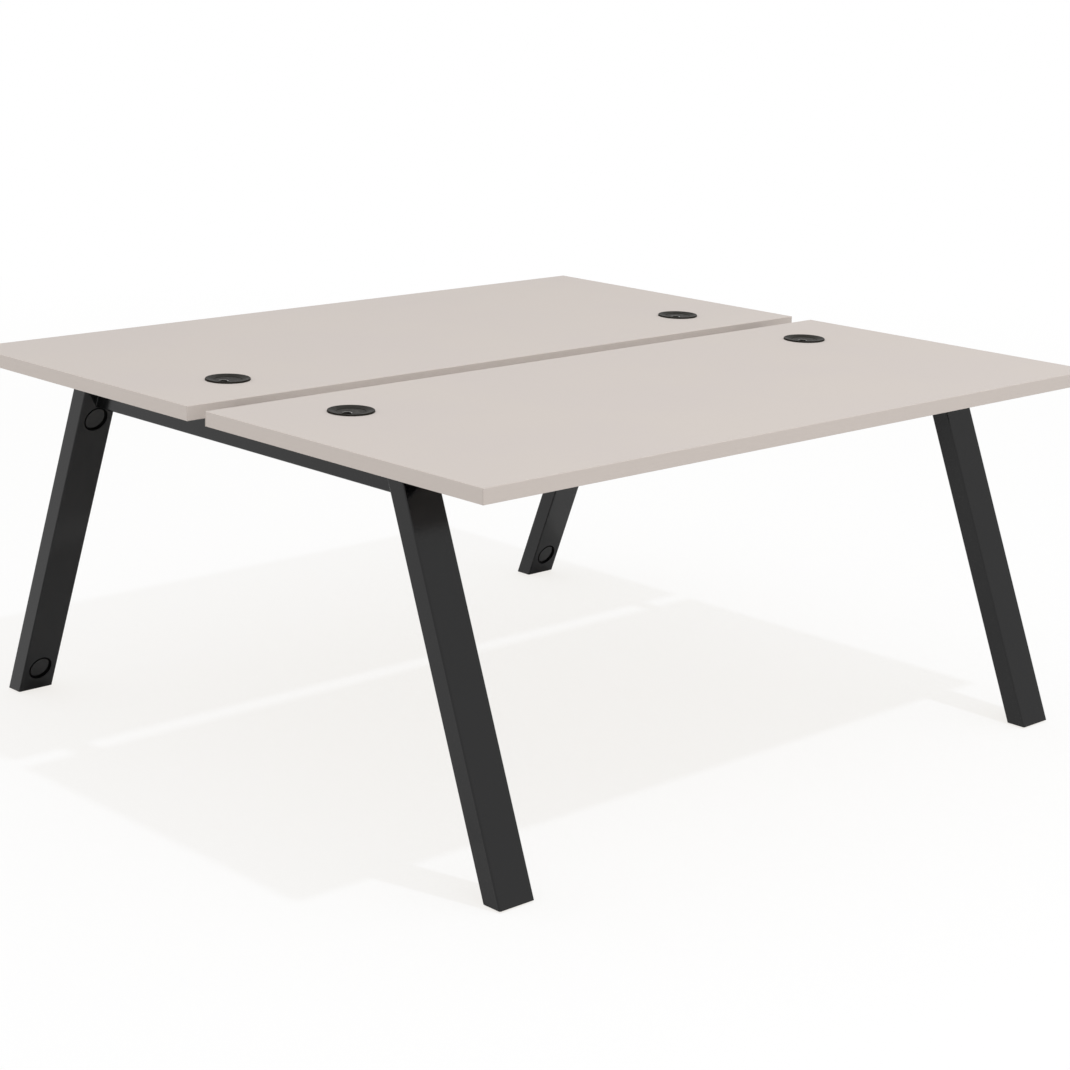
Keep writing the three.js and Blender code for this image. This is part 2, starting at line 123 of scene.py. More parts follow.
class Row(Way):
    """The row of a bolt on an end plate, along Y."""

    NEAR = -1
    FAR = 1


class Slot(Enum):
    """The material slots."""

    LAMINATE = "laminate"
    EDGE_BAND = "edge_band"
    PAINT = "black_paint"
    PLASTIC = "black_plastic"
    STEEL = "zinc_steel"


class Edge(Enum):
    """The edge of a worktop that a band covers."""

    USER = "user"
    GAP = "gap"
    LEFT = "left"
    RIGHT = "right"


class Line(Enum):
    """The line of a beam: by the gap between the tops, or by the legs."""

    INNER = "inner"
    OUTER = "outer"


class Spot(Enum):
    """The place of an access plug on its leg."""

    LOWER = "lower"
    UPPER = "upper"


class Solids(Enum):
    """What a boolean leaves of two solids."""

    UNION = "UNION"
    DIFFERENCE = "DIFFERENCE"
    INTERSECT = "INTERSECT"


class Element(Enum):
    """What a click in edit mode picks."""

    VERTICES = "VERT"
    EDGES = "EDGE"
    FACES = "FACE"


def corner_places() -> Iterator[tuple[Side, str]]:
    """Goes round the four corners of the desk.

    Yields:
        The corner's side, and the words that end the names of its nodes.
    """
    for side in Side:
        for end in End:
            yield side, f"{side.word}_{end.word}"


def middle_of(node: str) -> Vector:
    """The middle of a node's box."""
    low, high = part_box(node)
    return (low + high) / 2


def lies_along(way: Vector, axis: Vector) -> bool:
    """Whether an edge's direction or a face's normal lies along an axis, one way or the other."""
    return abs(way.dot(axis)) > SAME_LINE


def grey(level: float) -> Colour:
    """A grey in linear light."""
    return (level, level, level, 1.0)


def screen_colour(red: int, green: int, blue: int) -> Colour:
    """A colour given in screen values as linear light.

    Args:
        red: Screen value, from 0 to SCREEN_WHITE.
        green: Screen value, likewise.
        blue: Screen value, likewise.

    Returns:
        The colour as red, green, blue and alpha.
    """
    screen = Color((red, green, blue)) / SCREEN_WHITE
    linear = screen.from_srgb_to_scene_linear()
    return (linear.r, linear.g, linear.b, 1.0)


# Modelling


class Workpiece:
    """One mesh on the bench, shaped with Blender's operators."""

    def __init__(self, thing: bpy.types.Object) -> None:
        """Takes an object that holds a mesh."""
        self.thing = thing

    @staticmethod
    def clear_selection() -> None:
        """Leaves nothing selected, the loaded solids included."""
        bpy.ops.object.select_all(action="DESELECT")

    @classmethod
    def added(cls, name: str) -> "Workpiece":
        """Takes the primitive that was just added, names it and settles its place in its mesh.

        Args:
            name: The piece's name.

        Returns:
            The piece.
        """
        made = cls(bpy.context.object)
        made.thing.name = name
        made.thing.data.name = name
        bpy.ops.object.transform_apply(location=True, rotation=True, scale=True)
        return made

    @classmethod
    def block(cls, name: str, low: Vector, high: Vector) -> "Workpiece":
        """Adds a box.

        Args:
            name: The piece's name.
            low: The lowest corner.
            high: The highest corner.

        Returns:
            The box.
        """
        cls.clear_selection()
        bpy.ops.mesh.primitive_cube_add(size=1, location=(low + high) / 2, scale=high - low)
        return cls.added(name)

    @classmethod
    def rod(cls, name: str, middle: Vector, along: Vector, radius: float, length: float,
            sides: int) -> "Workpiece":
        """Adds a round bar.

        Args:
            name: The piece's name.
            middle: The middle of the bar.
            along: The direction of the bar.
            radius: Its radius.
            length: Its length.
            sides: Its number of sides.

        Returns:
            The bar.
        """
        cls.clear_selection()
        turn = along.to_track_quat("Z", "Y").to_euler()
        bpy.ops.mesh.primitive_cylinder_add(
            vertices=sides, radius=radius, depth=length, location=middle, rotation=turn
        )
        return cls.added(name)

    @classmethod
    def turned(cls, name: str, profile: Sequence[tuple[float, float]], steps: int) -> "Workpiece":
        """Draws a profile by extruding a point and spins it about +Z.

        Args:
            name: The piece's name.
            profile: Radius and height of each point, closed on itself or with both ends on the axis.
            steps: Number of steps in the whole turn.

        Returns:
            The turned piece.
        """
        cls.clear_selection()
        bpy.ops.mesh.primitive_plane_add(size=1)
        made = cls.added(name)
        places = [Vector((radius, 0, height)) for radius, height in profile]
        with made.editing(Element.VERTICES):
            bpy.ops.mesh.select_all(action="SELECT")
            bpy.ops.mesh.merge(type="CENTER")
            bpy.ops.transform.translate(value=places[0])
            for last, place in zip(places, places[1:]):
                bpy.ops.mesh.extrude_region_move(TRANSFORM_OT_translate={"value": place - last})
            bpy.ops.mesh.select_all(action="SELECT")
            bpy.ops.mesh.spin(steps=steps, angle=2 * HALF_TURN, center=(0, 0, 0), axis=Z_AXIS)
        made.close_seams()
        return made

    @classmethod
    def bar(cls, name: str, width: float, depth: float, length: float, radius: float,
            steps: int) -> "Workpiece":
        """Adds a solid bar about the Z axis with its four long edges rounded.

        Args:
            name: The piece's name.
            width: Its size along X.
            depth: Its size along Y.
            length: Its size along Z.
            radius: Radius of the long edges.
            steps: Number of facets in each rounded edge.

        Returns:
            The bar.
        """
        half = Vector((width, depth, length)) / 2
        made = cls.block(name, -half, half)
        made.round_edges(radius, steps, lambda middle, way: lies_along(way, Z_AXIS))
        return made

    @classmethod
    def tube(cls, name: str, width: float, depth: float, length: float, radius: float, wall: float,
             steps: int) -> "Workpiece":
        """Adds a rectangular tube about the Z axis.

        Args:
            name: The piece's name.
            width: Its size along X.
            depth: Its size along Y.
            length: Its size along Z.
            radius: Outer radius of the long edges.
            wall: Thickness of the wall.
            steps: Number of facets in each rounded edge.

        Returns:
            The tube, open at both ends.
        """
        made = cls.bar(name, width, depth, length, radius, steps)
        with made.editing(Element.FACES):
            made.pick(Element.FACES, lambda middle, normal: lies_along(normal, Z_AXIS))
            bpy.ops.mesh.delete(type="FACE")
        made.modify("wall", "SOLIDIFY", thickness=wall, offset=-1, use_even_offset=True)
        return made

    def activate(self) -> None:
        """Makes this the only selected object and the active one."""
        self.clear_selection()
        self.thing.select_set(True)
        bpy.context.view_layer.objects.active = self.thing

    @contextmanager
    def editing(self, element: Element) -> Iterator[None]:
        """Opens edit mode with nothing picked.

        Args:
            element: What the clicks pick.

        Yields:
            Nothing, while the mesh is open.
        """
        self.activate()
        bpy.ops.object.mode_set(mode="EDIT")
        bpy.ops.mesh.select_mode(type=element.value)
        bpy.ops.mesh.select_all(action="DESELECT")
        try:
            yield
        finally:
            bpy.ops.object.mode_set(mode="OBJECT")

    def pick(self, element: Element, wanted: Test) -> None:
        """Selects edges or faces by their place, in edit mode.

        Args:
            element: Edges or faces.
            wanted: Takes the middle, and an edge's direction or a face's normal.
        """
        mesh = bmesh.from_edit_mesh(self.thing.data)
        if element is Element.EDGES:
            for edge in mesh.edges:
                first, second = (corner.co for corner in edge.verts)
                edge.select_set(wanted((first + second) / 2, (second - first).normalized()))
        else:
            for face in mesh.faces:
                face.select_set(wanted(face.calc_center_median(), face.normal))
        bmesh.update_edit_mesh(self.thing.data)

    def round_edges(self, radius: float, steps: int, wanted: Test) -> None:
        """Rounds some edges.

        Args:
            radius: Radius of the rounding.
            steps: Number of facets in it.
            wanted: Takes an edge's middle and direction.
        """
        with self.editing(Element.EDGES):
            self.pick(Element.EDGES, wanted)
            bpy.ops.mesh.bevel(offset=radius, offset_type="OFFSET", segments=steps, affect="EDGES")

    def close_seams(self) -> None:
        """Merges doubled vertices, takes out collapsed faces and turns the others outwards."""
        with self.editing(Element.VERTICES):
            bpy.ops.mesh.select_all(action="SELECT")
            bpy.ops.mesh.remove_doubles(threshold=SAME_PLACE)
            bpy.ops.mesh.select_all(action="SELECT")
            bpy.ops.mesh.dissolve_degenerate(threshold=SAME_PLACE)
            bpy.ops.mesh.select_all(action="SELECT")
            bpy.ops.mesh.normals_make_consistent(inside=False)

    def modify(self, label: str, kind: str, **settings: object) -> None:
        """Adds a modifier and applies it.

        Args:
            label: The modifier's name.
            kind: Its type.
            **settings: Its settings.
        """
        self.activate()
        modifier = self.thing.modifiers.new(label, kind)
        for name, value in settings.items():
            setattr(modifier, name, value)
        bpy.ops.object.modifier_apply(modifier=modifier.name)

    def trim(self, point: Vector, outward: Vector) -> None:
        """Saws off what lies beyond a plane and closes the cut.

        Args:
            point: A point on the plane.
            outward: The way towards what is sawn off.
        """
        with self.editing(Element.FACES):
            bpy.ops.mesh.select_all(action="SELECT")
            bpy.ops.mesh.bisect(
                plane_co=point, plane_no=outward, clear_outer=True, use_fill=True, threshold=SAW_CUT
            )

    def combine(self, other: "Workpiece", left: Solids) -> None:
        """Joins to another piece or cuts with it, and uses that piece up.

        Args:
            other: The other piece.
            left: What is left of the two.
        """
        self.modify("combine", "BOOLEAN", operation=left.value, object=other.thing, solver="EXACT")
        bpy.data.objects.remove(other.thing, do_unlink=True)

    def drill(self, middle: Vector, along: Vector, radius: float, depth: float, sides: int = 48) -> None:
        """Drills a round hole.

        Args:
            middle: The middle of the drilled length.
            along: The direction of the hole.
            radius: Its radius.
            depth: The drilled length.
            sides: Number of sides of the hole.
        """
        self.combine(Workpiece.rod("drill", middle, along, radius, depth, sides), Solids.DIFFERENCE)

    def join(self, others: Sequence["Workpiece"]) -> None:
        """Makes other pieces part of this mesh without cutting them.

        Args:
            others: The other pieces, which are used up.
        """
        self.activate()
        for other in others:
            other.thing.select_set(True)
        bpy.ops.object.join()

    def move(self, motion: Matrix) -> None:
        """Moves the mesh, with its place kept in its vertices.

        Args:
            motion: From where it is to where it goes.
        """
        self.thing.matrix_world = motion
        self.activate()
        bpy.ops.object.transform_apply(location=True, rotation=True, scale=True)

    def flatten(self) -> None:
        """Takes out the seams inside flat faces, so that only real edges are left."""
        with self.editing(Element.EDGES):
            bpy.ops.mesh.select_all(action="SELECT")
            bpy.ops.mesh.remove_doubles(threshold=SAME_PLACE)
            bpy.ops.mesh.select_all(action="SELECT")
            bpy.ops.mesh.dissolve_limited(angle_limit=FLAT_ANGLE)

    def soften(self, width: float, steps: int = 2, sharper_than: float = 35) -> None:
        """Breaks every sharp edge.

        Args:
            width: Width of the broken edge.
            steps: Number of facets in it.
            sharper_than: Least angle of an edge that is broken, in degrees.
        """
        self.modify("broken edge", "BEVEL", width=width, segments=steps, limit_method="ANGLE",
                    angle_limit=math.radians(sharper_than), use_clamp_overlap=True)

    def polish(self, smooth_below: float = 35) -> None:
        """Cleans the mesh, shades round faces smoothly and keeps flat ones flat.

        Args:
            smooth_below: Largest angle that is shaded as round, in degrees.
        """
        self.close_seams()
        self.activate()
        bpy.ops.object.shade_smooth_by_angle(angle=math.radians(smooth_below))
        self.modify("even shading", "WEIGHTED_NORMAL", weight=LARGE_FACES, keep_sharp=True)

    def copied(self, name: str, motion: Matrix) -> "Workpiece":
        """Copies the piece with a mesh of its own.

        Args:
            name: The copy's name.
            motion: Where the copy goes, from where this piece is.

        Returns:
            The copy.
        """
        thing = self.thing.copy()
        thing.data = self.thing.data.copy()
        thing.name = name
        thing.data.name = name
        bpy.context.scene.collection.objects.link(thing)
        made = Workpiece(thing)
        made.move(motion)
        return made

    def discard(self) -> None:
        """Takes a pattern piece off the bench once its copies are made."""
        bpy.data.objects.remove(self.thing, do_unlink=True)

    def dress(self, finish: bpy.types.Material) -> None:
        """Gives the whole piece one finish."""
        self.thing.data.materials.clear()
        self.thing.data.materials.append(finish)

    def dress_faces(self, finish: bpy.types.Material, wanted: Test) -> None:
        """Gives some faces a finish of their own.

        Args:
            finish: The finish.
            wanted: Takes a face's middle and normal.
        """
        self.thing.data.materials.append(finish)
        with self.editing(Element.FACES):
            self.pick(Element.FACES, wanted)
            self.thing.active_material_index = len(self.thing.data.materials) - 1
            bpy.ops.object.material_slot_assign()

    def fit(self, body: str, slot: Slot, *nodes: str) -> None:
        """Hangs the finished piece on the frame and reports it.

        Args:
            body: The body that it rides on.
            slot: The slot of its finish; not used.
            *nodes: The solids that it stands for.
        """
        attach(self.thing, body)
        if nodes:
            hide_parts(*nodes)
        LOG.info("%s: %d faces on %s", self.thing.name, len(self.thing.data.polygons), body)


# Finishes


class Value:
    """A number that a node gives, with the usual arithmetic."""

    def __init__(self, sheet: "NodeSheet", socket: bpy.types.NodeSocket) -> None:
        """Takes the socket that gives the number, and the sheet that its nodes lie on."""
        self.sheet = sheet
        self.socket = socket

    def _with(self, operation: str, first: "Value | float", second: "Value | float") -> "Value":
        """The result of one operation on two values."""
        made = self.sheet.node("ShaderNodeMath", {"operation": operation}, {0: first, 1: second})
        return Value(self.sheet, made.outputs[0])

    def __add__(self, other: "Value | float") -> "Value":
        """Sum."""
        return self._with("ADD", self, other)

    def __radd__(self, other: float) -> "Value":
        """Sum with the number first."""
        return self._with("ADD", other, self)

    def __sub__(self, other: "Value | float") -> "Value":
        """Difference."""
        return self._with("SUBTRACT", self, other)

    def __rsub__(self, other: float) -> "Value":
        """Difference with the number first."""
        return self._with("SUBTRACT", other, self)

    def __mul__(self, other: "Value | float") -> "Value":
        """Product."""
        return self._with("MULTIPLY", self, other)

    def __rmul__(self, other: float) -> "Value":
        """Product with the number first."""
        return self._with("MULTIPLY", other, self)

    def above(self, level: float, softness: float) -> "Value":
        """A mask that rises from 0 to 1 about a level.

        Args:
            level: Where it is one half.
            softness: How far it takes to rise.

        Returns:
            The mask.
        """
        made = self.sheet.node(
            "ShaderNodeMapRange",
            {"interpolation_type": "SMOOTHSTEP"},
            {"Value": self, "From Min": level - softness / 2, "From Max": level + softness / 2},
        )
        return Value(self.sheet, made.outputs[0])


class NodeSheet:
    """The nodes of one material or of the surround."""

    def __init__(self, tree: bpy.types.NodeTree) -> None:
        """Clears the tree that the nodes lie in."""
        self.tree = tree
        self.tree.nodes.clear()

    def node(
        self,
        kind: str,
        settings: dict[str, object] | None = None,
        sockets: dict[int | str, object] | None = None,
    ) -> bpy.types.Node:
        """Adds a node.

        Args:
            kind: The node's type.
            settings: Its own settings, which are set first.
            sockets: Values or links for its inputs, by name or number.

        Returns:
            The node.
        """
        made = self.tree.nodes.new(kind)
        for name, setting in (settings or {}).items():
            setattr(made, name, setting)
        for key, given in (sockets or {}).items():
            source = given.socket if isinstance(given, Value) else given
            if isinstance(source, bpy.types.NodeSocket):
                self.tree.links.new(source, made.inputs[key])
            else:
                made.inputs[key].default_value = source
        return made


class FinishMixer(NodeSheet):
    """The nodes of one finish, read on the piece's own coordinates."""

    def __init__(self, name: str) -> None:
        """Starts an empty material.

        Args:
            name: The material's name.
        """
        self.material = bpy.data.materials.new(name)
        self.material.use_nodes = True
        super().__init__(self.material.node_tree)
        self.place = self.node("ShaderNodeTexCoord").outputs["Object"]

    def stretched(self, stretch: Sequence[float]) -> bpy.types.NodeSocket:
        """The coordinates with each axis scaled, for a grain that runs one way."""
        return self.node("ShaderNodeMapping", {}, {"Vector": self.place, "Scale": stretch}).outputs[0]

    def noise(self, size: float, detail: float = 2, place: bpy.types.NodeSocket | None = None) -> Value:
        """Cloudy noise.

        Args:
            size: Size of a cloud.
            detail: How many finer layers lie in it.
            place: Coordinates to read it on, or the piece's own.

        Returns:
            The noise, about one half.
        """
        made = self.node(
            "ShaderNodeTexNoise", {}, {"Vector": place or self.place, "Scale": 1 / size, "Detail": detail}
        )
        return Value(self, made.outputs[0])

    def cells(self, size: float) -> Value:
        """Cells of random brightness.

        Args:
            size: Size of a cell.

        Returns:
            Each cell's brightness, from 0 to 1.
        """
        made = self.node("ShaderNodeTexVoronoi", {}, {"Vector": self.place, "Scale": 1 / size})
        return Value(self, made.outputs["Color"])

    def tint(self, share: Value | float, first: object, second: object) -> bpy.types.NodeSocket:
        """A mix of two colours.

        Args:
            share: How much of the second one.
            first: The first colour, or a socket that gives it.
            second: The second colour, or a socket that gives it.

        Returns:
            The socket that gives the mix.
        """
        made = self.node("ShaderNodeMix", {"data_type": "RGBA"}, {0: share, 6: first, 7: second})
        return made.outputs[2]

    def relief(self, height: Value, depth: float) -> bpy.types.NodeSocket:
        """A surface that rises and falls.

        Args:
            height: The height as a share of the depth.
            depth: The depth.

        Returns:
            The socket that gives the normal.
        """
        return self.node("ShaderNodeBump", {}, {"Height": height, "Distance": depth}).outputs[0]

    def matt(self, colour: Colour) -> bpy.types.NodeSocket:
        """A plain matt surface."""
        return self.node("ShaderNodeBsdfDiffuse", {}, {"Color": colour}).outputs[0]

    def glow(self, colour: Colour, strength: float = 1.0) -> bpy.types.NodeSocket:
        """A surface that gives light of its own."""
        return self.node("ShaderNodeEmission", {}, {"Color": colour, "Strength": strength}).outputs[0]

    def blend(
        self, share: Value, first: bpy.types.NodeSocket, second: bpy.types.NodeSocket
    ) -> bpy.types.NodeSocket:
        """A mix of two surfaces.

        Args:
            share: How much of the second one.
            first: The first surface.
            second: The second surface.

        Returns:
            The socket that gives the mix.
        """
        return self.node("ShaderNodeMixShader", {}, {0: share, 1: first, 2: second}).outputs[0]

    def closed(self, surface: bpy.types.NodeSocket) -> bpy.types.Material:
        """Gives the material its surface."""
        self.node("ShaderNodeOutputMaterial", {}, {"Surface": surface})
        return self.material

    def finished(self, **sockets: object) -> bpy.types.Material:
        """Gives the material a surface with the usual inputs of a finish.

        Args:
            **sockets: Values or links of the surface's inputs, with spaces as low lines.

        Returns:
            The material.
        """
        named = {name.replace("_", " "): given for name, given in sockets.items()}
        return self.closed(self.node("ShaderNodeBsdfPrincipled", {}, named).outputs[0])


@dataclass(frozen=True)
class Laminate:
    """Matt melamine with faint clouds of tone, fine flecks and a pearl emboss."""

    name: str
    warm: Colour
    cool: Colour
    fleck: Colour
    roughness: float
    gloss: float = 0.03
    cloud_size: float = 0.35
    cloud_level: float = 0.5
    cloud_softness: float = 0.35
    patches_per_cloud: float = 6
    patch_roughness: float = 0.05
    fleck_size: float = 0.0021
    fleck_level: float = 0.62
    fleck_softness: float = 0.12
    fleck_tint: float = 0.10
    emboss_size: float = 0.0011
    emboss_depth: float = 0.000012
    emboss_roughness: float = 0.06

    def mixed(self) -> bpy.types.Material:
        """Mixes the finish.

        Returns:
            The finish as a material.
        """
        mixer = FinishMixer(self.name)
        clouds = mixer.noise(self.cloud_size, detail=3).above(self.cloud_level, self.cloud_softness)
        flecks = mixer.noise(self.fleck_size, detail=1).above(self.fleck_level, self.fleck_softness)
        patches = mixer.noise(self.cloud_size / self.patches_per_cloud)
        emboss = mixer.noise(self.emboss_size, detail=3)
        tone = mixer.tint(clouds, self.warm, self.cool)
        return mixer.finished(
            Base_Color=mixer.tint(self.fleck_tint * flecks, tone, self.fleck),
            Roughness=self.roughness + self.patch_roughness * patches + self.emboss_roughness * emboss,
            Normal=mixer.relief(emboss, self.emboss_depth),
            Specular_IOR_Level=self.gloss,
        )


@dataclass(frozen=True)
class EdgePlastic:
    """Extruded edging: the colour of the laminate, with fine lines drawn along it and a satin face."""

    name: str
    colour: Colour
    shaded: Colour
    roughness: float
    gloss: float = 0.4
    line_size: float = 0.0016
    line_stretch: tuple[float, float, float] = (0.02, 0.02, 1.0)
    line_tint: float = 0.5
    line_depth: float = 0.000008
    line_roughness: float = 0.08
    pore_size: float = 0.0008
    pore_height: float = 0.5

    def mixed(self) -> bpy.types.Material:
        """Mixes the finish.

        Returns:
            The finish as a material.
        """
        mixer = FinishMixer(self.name)
        lines = mixer.noise(self.line_size, place=mixer.stretched(self.line_stretch))
        pores = mixer.noise(self.pore_size)
        return mixer.finished(
            Base_Color=mixer.tint(self.line_tint * lines, self.colour, self.shaded),
            Roughness=self.roughness + self.line_roughness * lines,
            Normal=mixer.relief(lines + self.pore_height * pores, self.line_depth),
            Specular_IOR_Level=self.gloss,
        )


@dataclass(frozen=True)
class Chipboard:
    """The raw core of the worktops: pressed chips of several browns."""

    name: str
    pale: Colour
    dark: Colour
    roughness: float = 0.85
    chip_size: float = 0.004
    chip_depth: float = 0.0002
    chip_tint: float = 0.7
    fibre_size: float = 0.001
    fibre_tint: float = 0.3
    fibre_roughness: float = 0.1

    def mixed(self) -> bpy.types.Material:
        """Mixes the finish.

        Returns:
            The finish as a material.
        """
        mixer = FinishMixer(self.name)
        chips = mixer.cells(self.chip_size)
        fibre = mixer.noise(self.fibre_size, detail=4)
        darkness = self.chip_tint * chips + self.fibre_tint * fibre
        return mixer.finished(
            Base_Color=mixer.tint(darkness, self.pale, self.dark),
            Roughness=self.roughness + self.fibre_roughness * fibre,
            Normal=mixer.relief(chips + fibre, self.chip_depth),
        )


@dataclass(frozen=True)
class PowderCoat:
    """Smooth semi-gloss paint on steel: a faint orange peel and slow changes of gloss."""

    name: str
    colour: Colour
    worn: Colour
    roughness: float
    gloss: float = 0.38
    peel_size: float = 0.0034
    peel_depth: float = 0.000002
    peel_roughness: float = 0.02
    haze_size: float = 0.09
    haze_tint: float = 0.35
    haze_roughness: float = 0.05
    speck_size: float = 0.0012
    speck_level: float = 0.72
    speck_softness: float = 0.06
    speck_tint: float = 0.4

    def mixed(self) -> bpy.types.Material:
        """Mixes the finish.

        Returns:
            The finish as a material.
        """
        mixer = FinishMixer(self.name)
        peel = mixer.noise(self.peel_size)
        haze = mixer.noise(self.haze_size, detail=4)
        specks = mixer.noise(self.speck_size, detail=1).above(self.speck_level, self.speck_softness)
        wear = self.haze_tint * haze + self.speck_tint * specks
        return mixer.finished(
            Base_Color=mixer.tint(wear, self.colour, self.worn),
            Roughness=self.roughness + self.haze_roughness * haze + self.peel_roughness * peel,
            Normal=mixer.relief(peel, self.peel_depth),
            Specular_IOR_Level=self.gloss,
        )


@dataclass(frozen=True)
class MouldedPlastic:
    """Moulded plastic with the fine grain of a sparked mould."""

    name: str
    colour: Colour
    scuffed: Colour
    roughness: float
    gloss: float
    grain_size: float = 0.0007
    grain_depth: float = 0.00001
    grain_tint: float = 0.25
    grain_roughness: float = 0.08
    scuff_size: float = 0.012
    scuff_level: float = 0.6
    scuff_softness: float = 0.2
    scuff_tint: float = 0.5
    scuff_shine: float = 0.06

    def mixed(self) -> bpy.types.Material:
        """Mixes the finish.

        Returns:
            The finish as a material.
        """
        mixer = FinishMixer(self.name)
        grain = mixer.noise(self.grain_size, detail=3)
        scuffs = mixer.noise(self.scuff_size, detail=5).above(self.scuff_level, self.scuff_softness)
        wear = self.scuff_tint * scuffs + self.grain_tint * grain
        return mixer.finished(
            Base_Color=mixer.tint(wear, self.colour, self.scuffed),
            Roughness=self.roughness + self.grain_roughness * grain - self.scuff_shine * scuffs,
            Normal=mixer.relief(grain, self.grain_depth),
            Specular_IOR_Level=self.gloss,
        )


@dataclass(frozen=True)
class ZincPlate:
    """Bright zinc on steel: small spangles and a faint yellow passivation."""

    name: str
    bright: Colour
    dull: Colour
    roughness: float
    spangle_size: float = 0.003
    spangle_tint: float = 0.4
    spangle_roughness: float = 0.12
    stain_size: float = 0.01
    stain_tint: float = 0.5
    stain_roughness: float = 0.08
    pit_size: float = 0.0006
    pit_depth: float = 0.000006

    def mixed(self) -> bpy.types.Material:
        """Mixes the finish.

        Returns:
            The finish as a material.
        """
        mixer = FinishMixer(self.name)
        spangle = mixer.cells(self.spangle_size)
        stain = mixer.noise(self.stain_size, detail=4)
        dullness = self.spangle_tint * spangle + self.stain_tint * stain
        return mixer.finished(
            Base_Color=mixer.tint(dullness, self.bright, self.dull),
            Metallic=1.0,
            Roughness=self.roughness + self.spangle_roughness * spangle + self.stain_roughness * stain,
            Normal=mixer.relief(mixer.noise(self.pit_size), self.pit_depth),
        )


@dataclass(frozen=True)
class Finishes:
    """Every finish on the desk, mixed once."""

    laminate: bpy.types.Material
    edging: bpy.types.Material
    core: bpy.types.Material
    paint: bpy.types.Material
    plastic: bpy.types.Material
    glossy_plastic: bpy.types.Material
    # A pale finish painted on the grip's crest as a highlight
    rubbed_plastic: bpy.types.Material
    # A near-black finish painted on the plug rims as shade
    rim_plastic: bpy.types.Material
    zinc: bpy.types.Material

    @classmethod
    def mixed(cls) -> "Finishes":
        """Mixes them all.

        Returns:
            The finishes.
        """
        return cls(
            laminate=Laminate(
                "beige_laminate",
                warm=screen_colour(207, 199, 193),
                cool=screen_colour(206, 198, 193),
                fleck=screen_colour(196, 187, 180),
                roughness=0.62,
            ).mixed(),
            edging=EdgePlastic(
                "beige_edging",
                colour=screen_colour(207, 197, 190),
                shaded=screen_colour(200, 190, 182),
                roughness=0.42,
            ).mixed(),
            core=Chipboard(
                "chipboard_core",
                pale=screen_colour(202, 170, 126),
                dark=screen_colour(132, 98, 62),
            ).mixed(),
            paint=PowderCoat(
                "black_powder_coat",
                colour=screen_colour(8, 8, 9),
                worn=screen_colour(15, 15, 16),
                roughness=0.13,
            ).mixed(),
            plastic=MouldedPlastic(
                "black_moulded_plastic",
                colour=screen_colour(40, 38, 34),
                scuffed=screen_colour(52, 49, 45),
                roughness=0.36,
                gloss=0.02,
            ).mixed(),
            glossy_plastic=MouldedPlastic(
                "black_gloss_plastic",
                colour=screen_colour(9, 9, 9),
                scuffed=screen_colour(18, 18, 18),
                roughness=0.2,
                gloss=0.45,
                grain_depth=0.000002,
            ).mixed(),
            # Painted highlight: a pale grey on the crest of the lid's grip that stands in for the lamp's
            # glint on it
            rubbed_plastic=MouldedPlastic(
                "rubbed_plastic",
                colour=screen_colour(112, 111, 108),
                scuffed=screen_colour(140, 139, 136),
                roughness=0.3,
                gloss=0.3,
            ).mixed(),
            # Painted shade: near-black and matt on the access plugs' rims and dish walls, standing in for
            # the shadowed groove round each plug
            rim_plastic=MouldedPlastic(
                "matt_rim_plastic",
                colour=screen_colour(3, 3, 3),
                scuffed=screen_colour(8, 8, 8),
                roughness=0.5,
                gloss=0.02,
            ).mixed(),
            zinc=ZincPlate(
                "zinc_plate",
                bright=screen_colour(198, 200, 202),
                dull=screen_colour(160, 160, 156),
                roughness=0.26,
            ).mixed(),
        )


# Sub-assemblies


@dataclass
class Worktop:
    """One worktop: a laminated board with a glued band on each of its four edges."""

    side: Side
    finishes: Finishes
    hole_radius: float = PORT_HOLE_RADIUS
    hole_sides: int = 72
    band_radius: float = 0.0012
    band_steps: int = 4

    def build(self) -> None:
        """Models and hangs the board and its bands."""
        self.build_board()
        for edge in Edge:
            self.build_band(edge)

    def build_board(self) -> None:
        """The board, drilled for its two cable ports."""
        node = f"worktop_{self.side.word}"
        low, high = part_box(node)
        board = Workpiece.block(f"laminate_top_{self.side.word}", low, high)
        for end in End:
            hole = middle_of(f"port_ring_{self.side.word}_{end.word}")
            hole.z = (low.z + high.z) / 2
            board.drill(hole, Z_AXIS, self.hole_radius, SPARE * (high.z - low.z), self.hole_sides)
        board.dress(self.finishes.laminate)
        board.dress_faces(self.finishes.core, lambda middle, normal: not lies_along(normal, Z_AXIS))
        board.polish()
        board.fit(DESK, Slot.LAMINATE, node)

    def build_band(self, edge: Edge) -> None:
        """A band with its outer edges rounded.

        Args:
            edge: The edge that it covers.
        """
        node = f"edge_band_{self.side.word}_{edge.value}"
        low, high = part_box(node)
        outward = self.outward(middle_of(node) - middle_of(f"worktop_{self.side.word}"), high - low)
        face = max(low.dot(outward), high.dot(outward))
        band = Workpiece.block(f"glued_band_{self.side.word}_{edge.value}", low, high)
        band.round_edges(
            self.band_radius,
            self.band_steps,
            lambda middle, way: middle.dot(outward) > face - TOUCH,
        )
        band.dress(self.finishes.edging)
        band.polish()
        band.fit(DESK, Slot.EDGE_BAND, node)

    @staticmethod
    def outward(offset: Vector, size: Vector) -> Vector:
        """The way that a band faces.

        Args:
            offset: From the middle of the board to the middle of the band.
            size: The band's sizes, of which its thickness is the least.

        Returns:
            A unit vector along X or Y.
        """
        axis = X_AXIS if size.x < size.y else Y_AXIS
        return axis * math.copysign(1, offset.dot(axis))


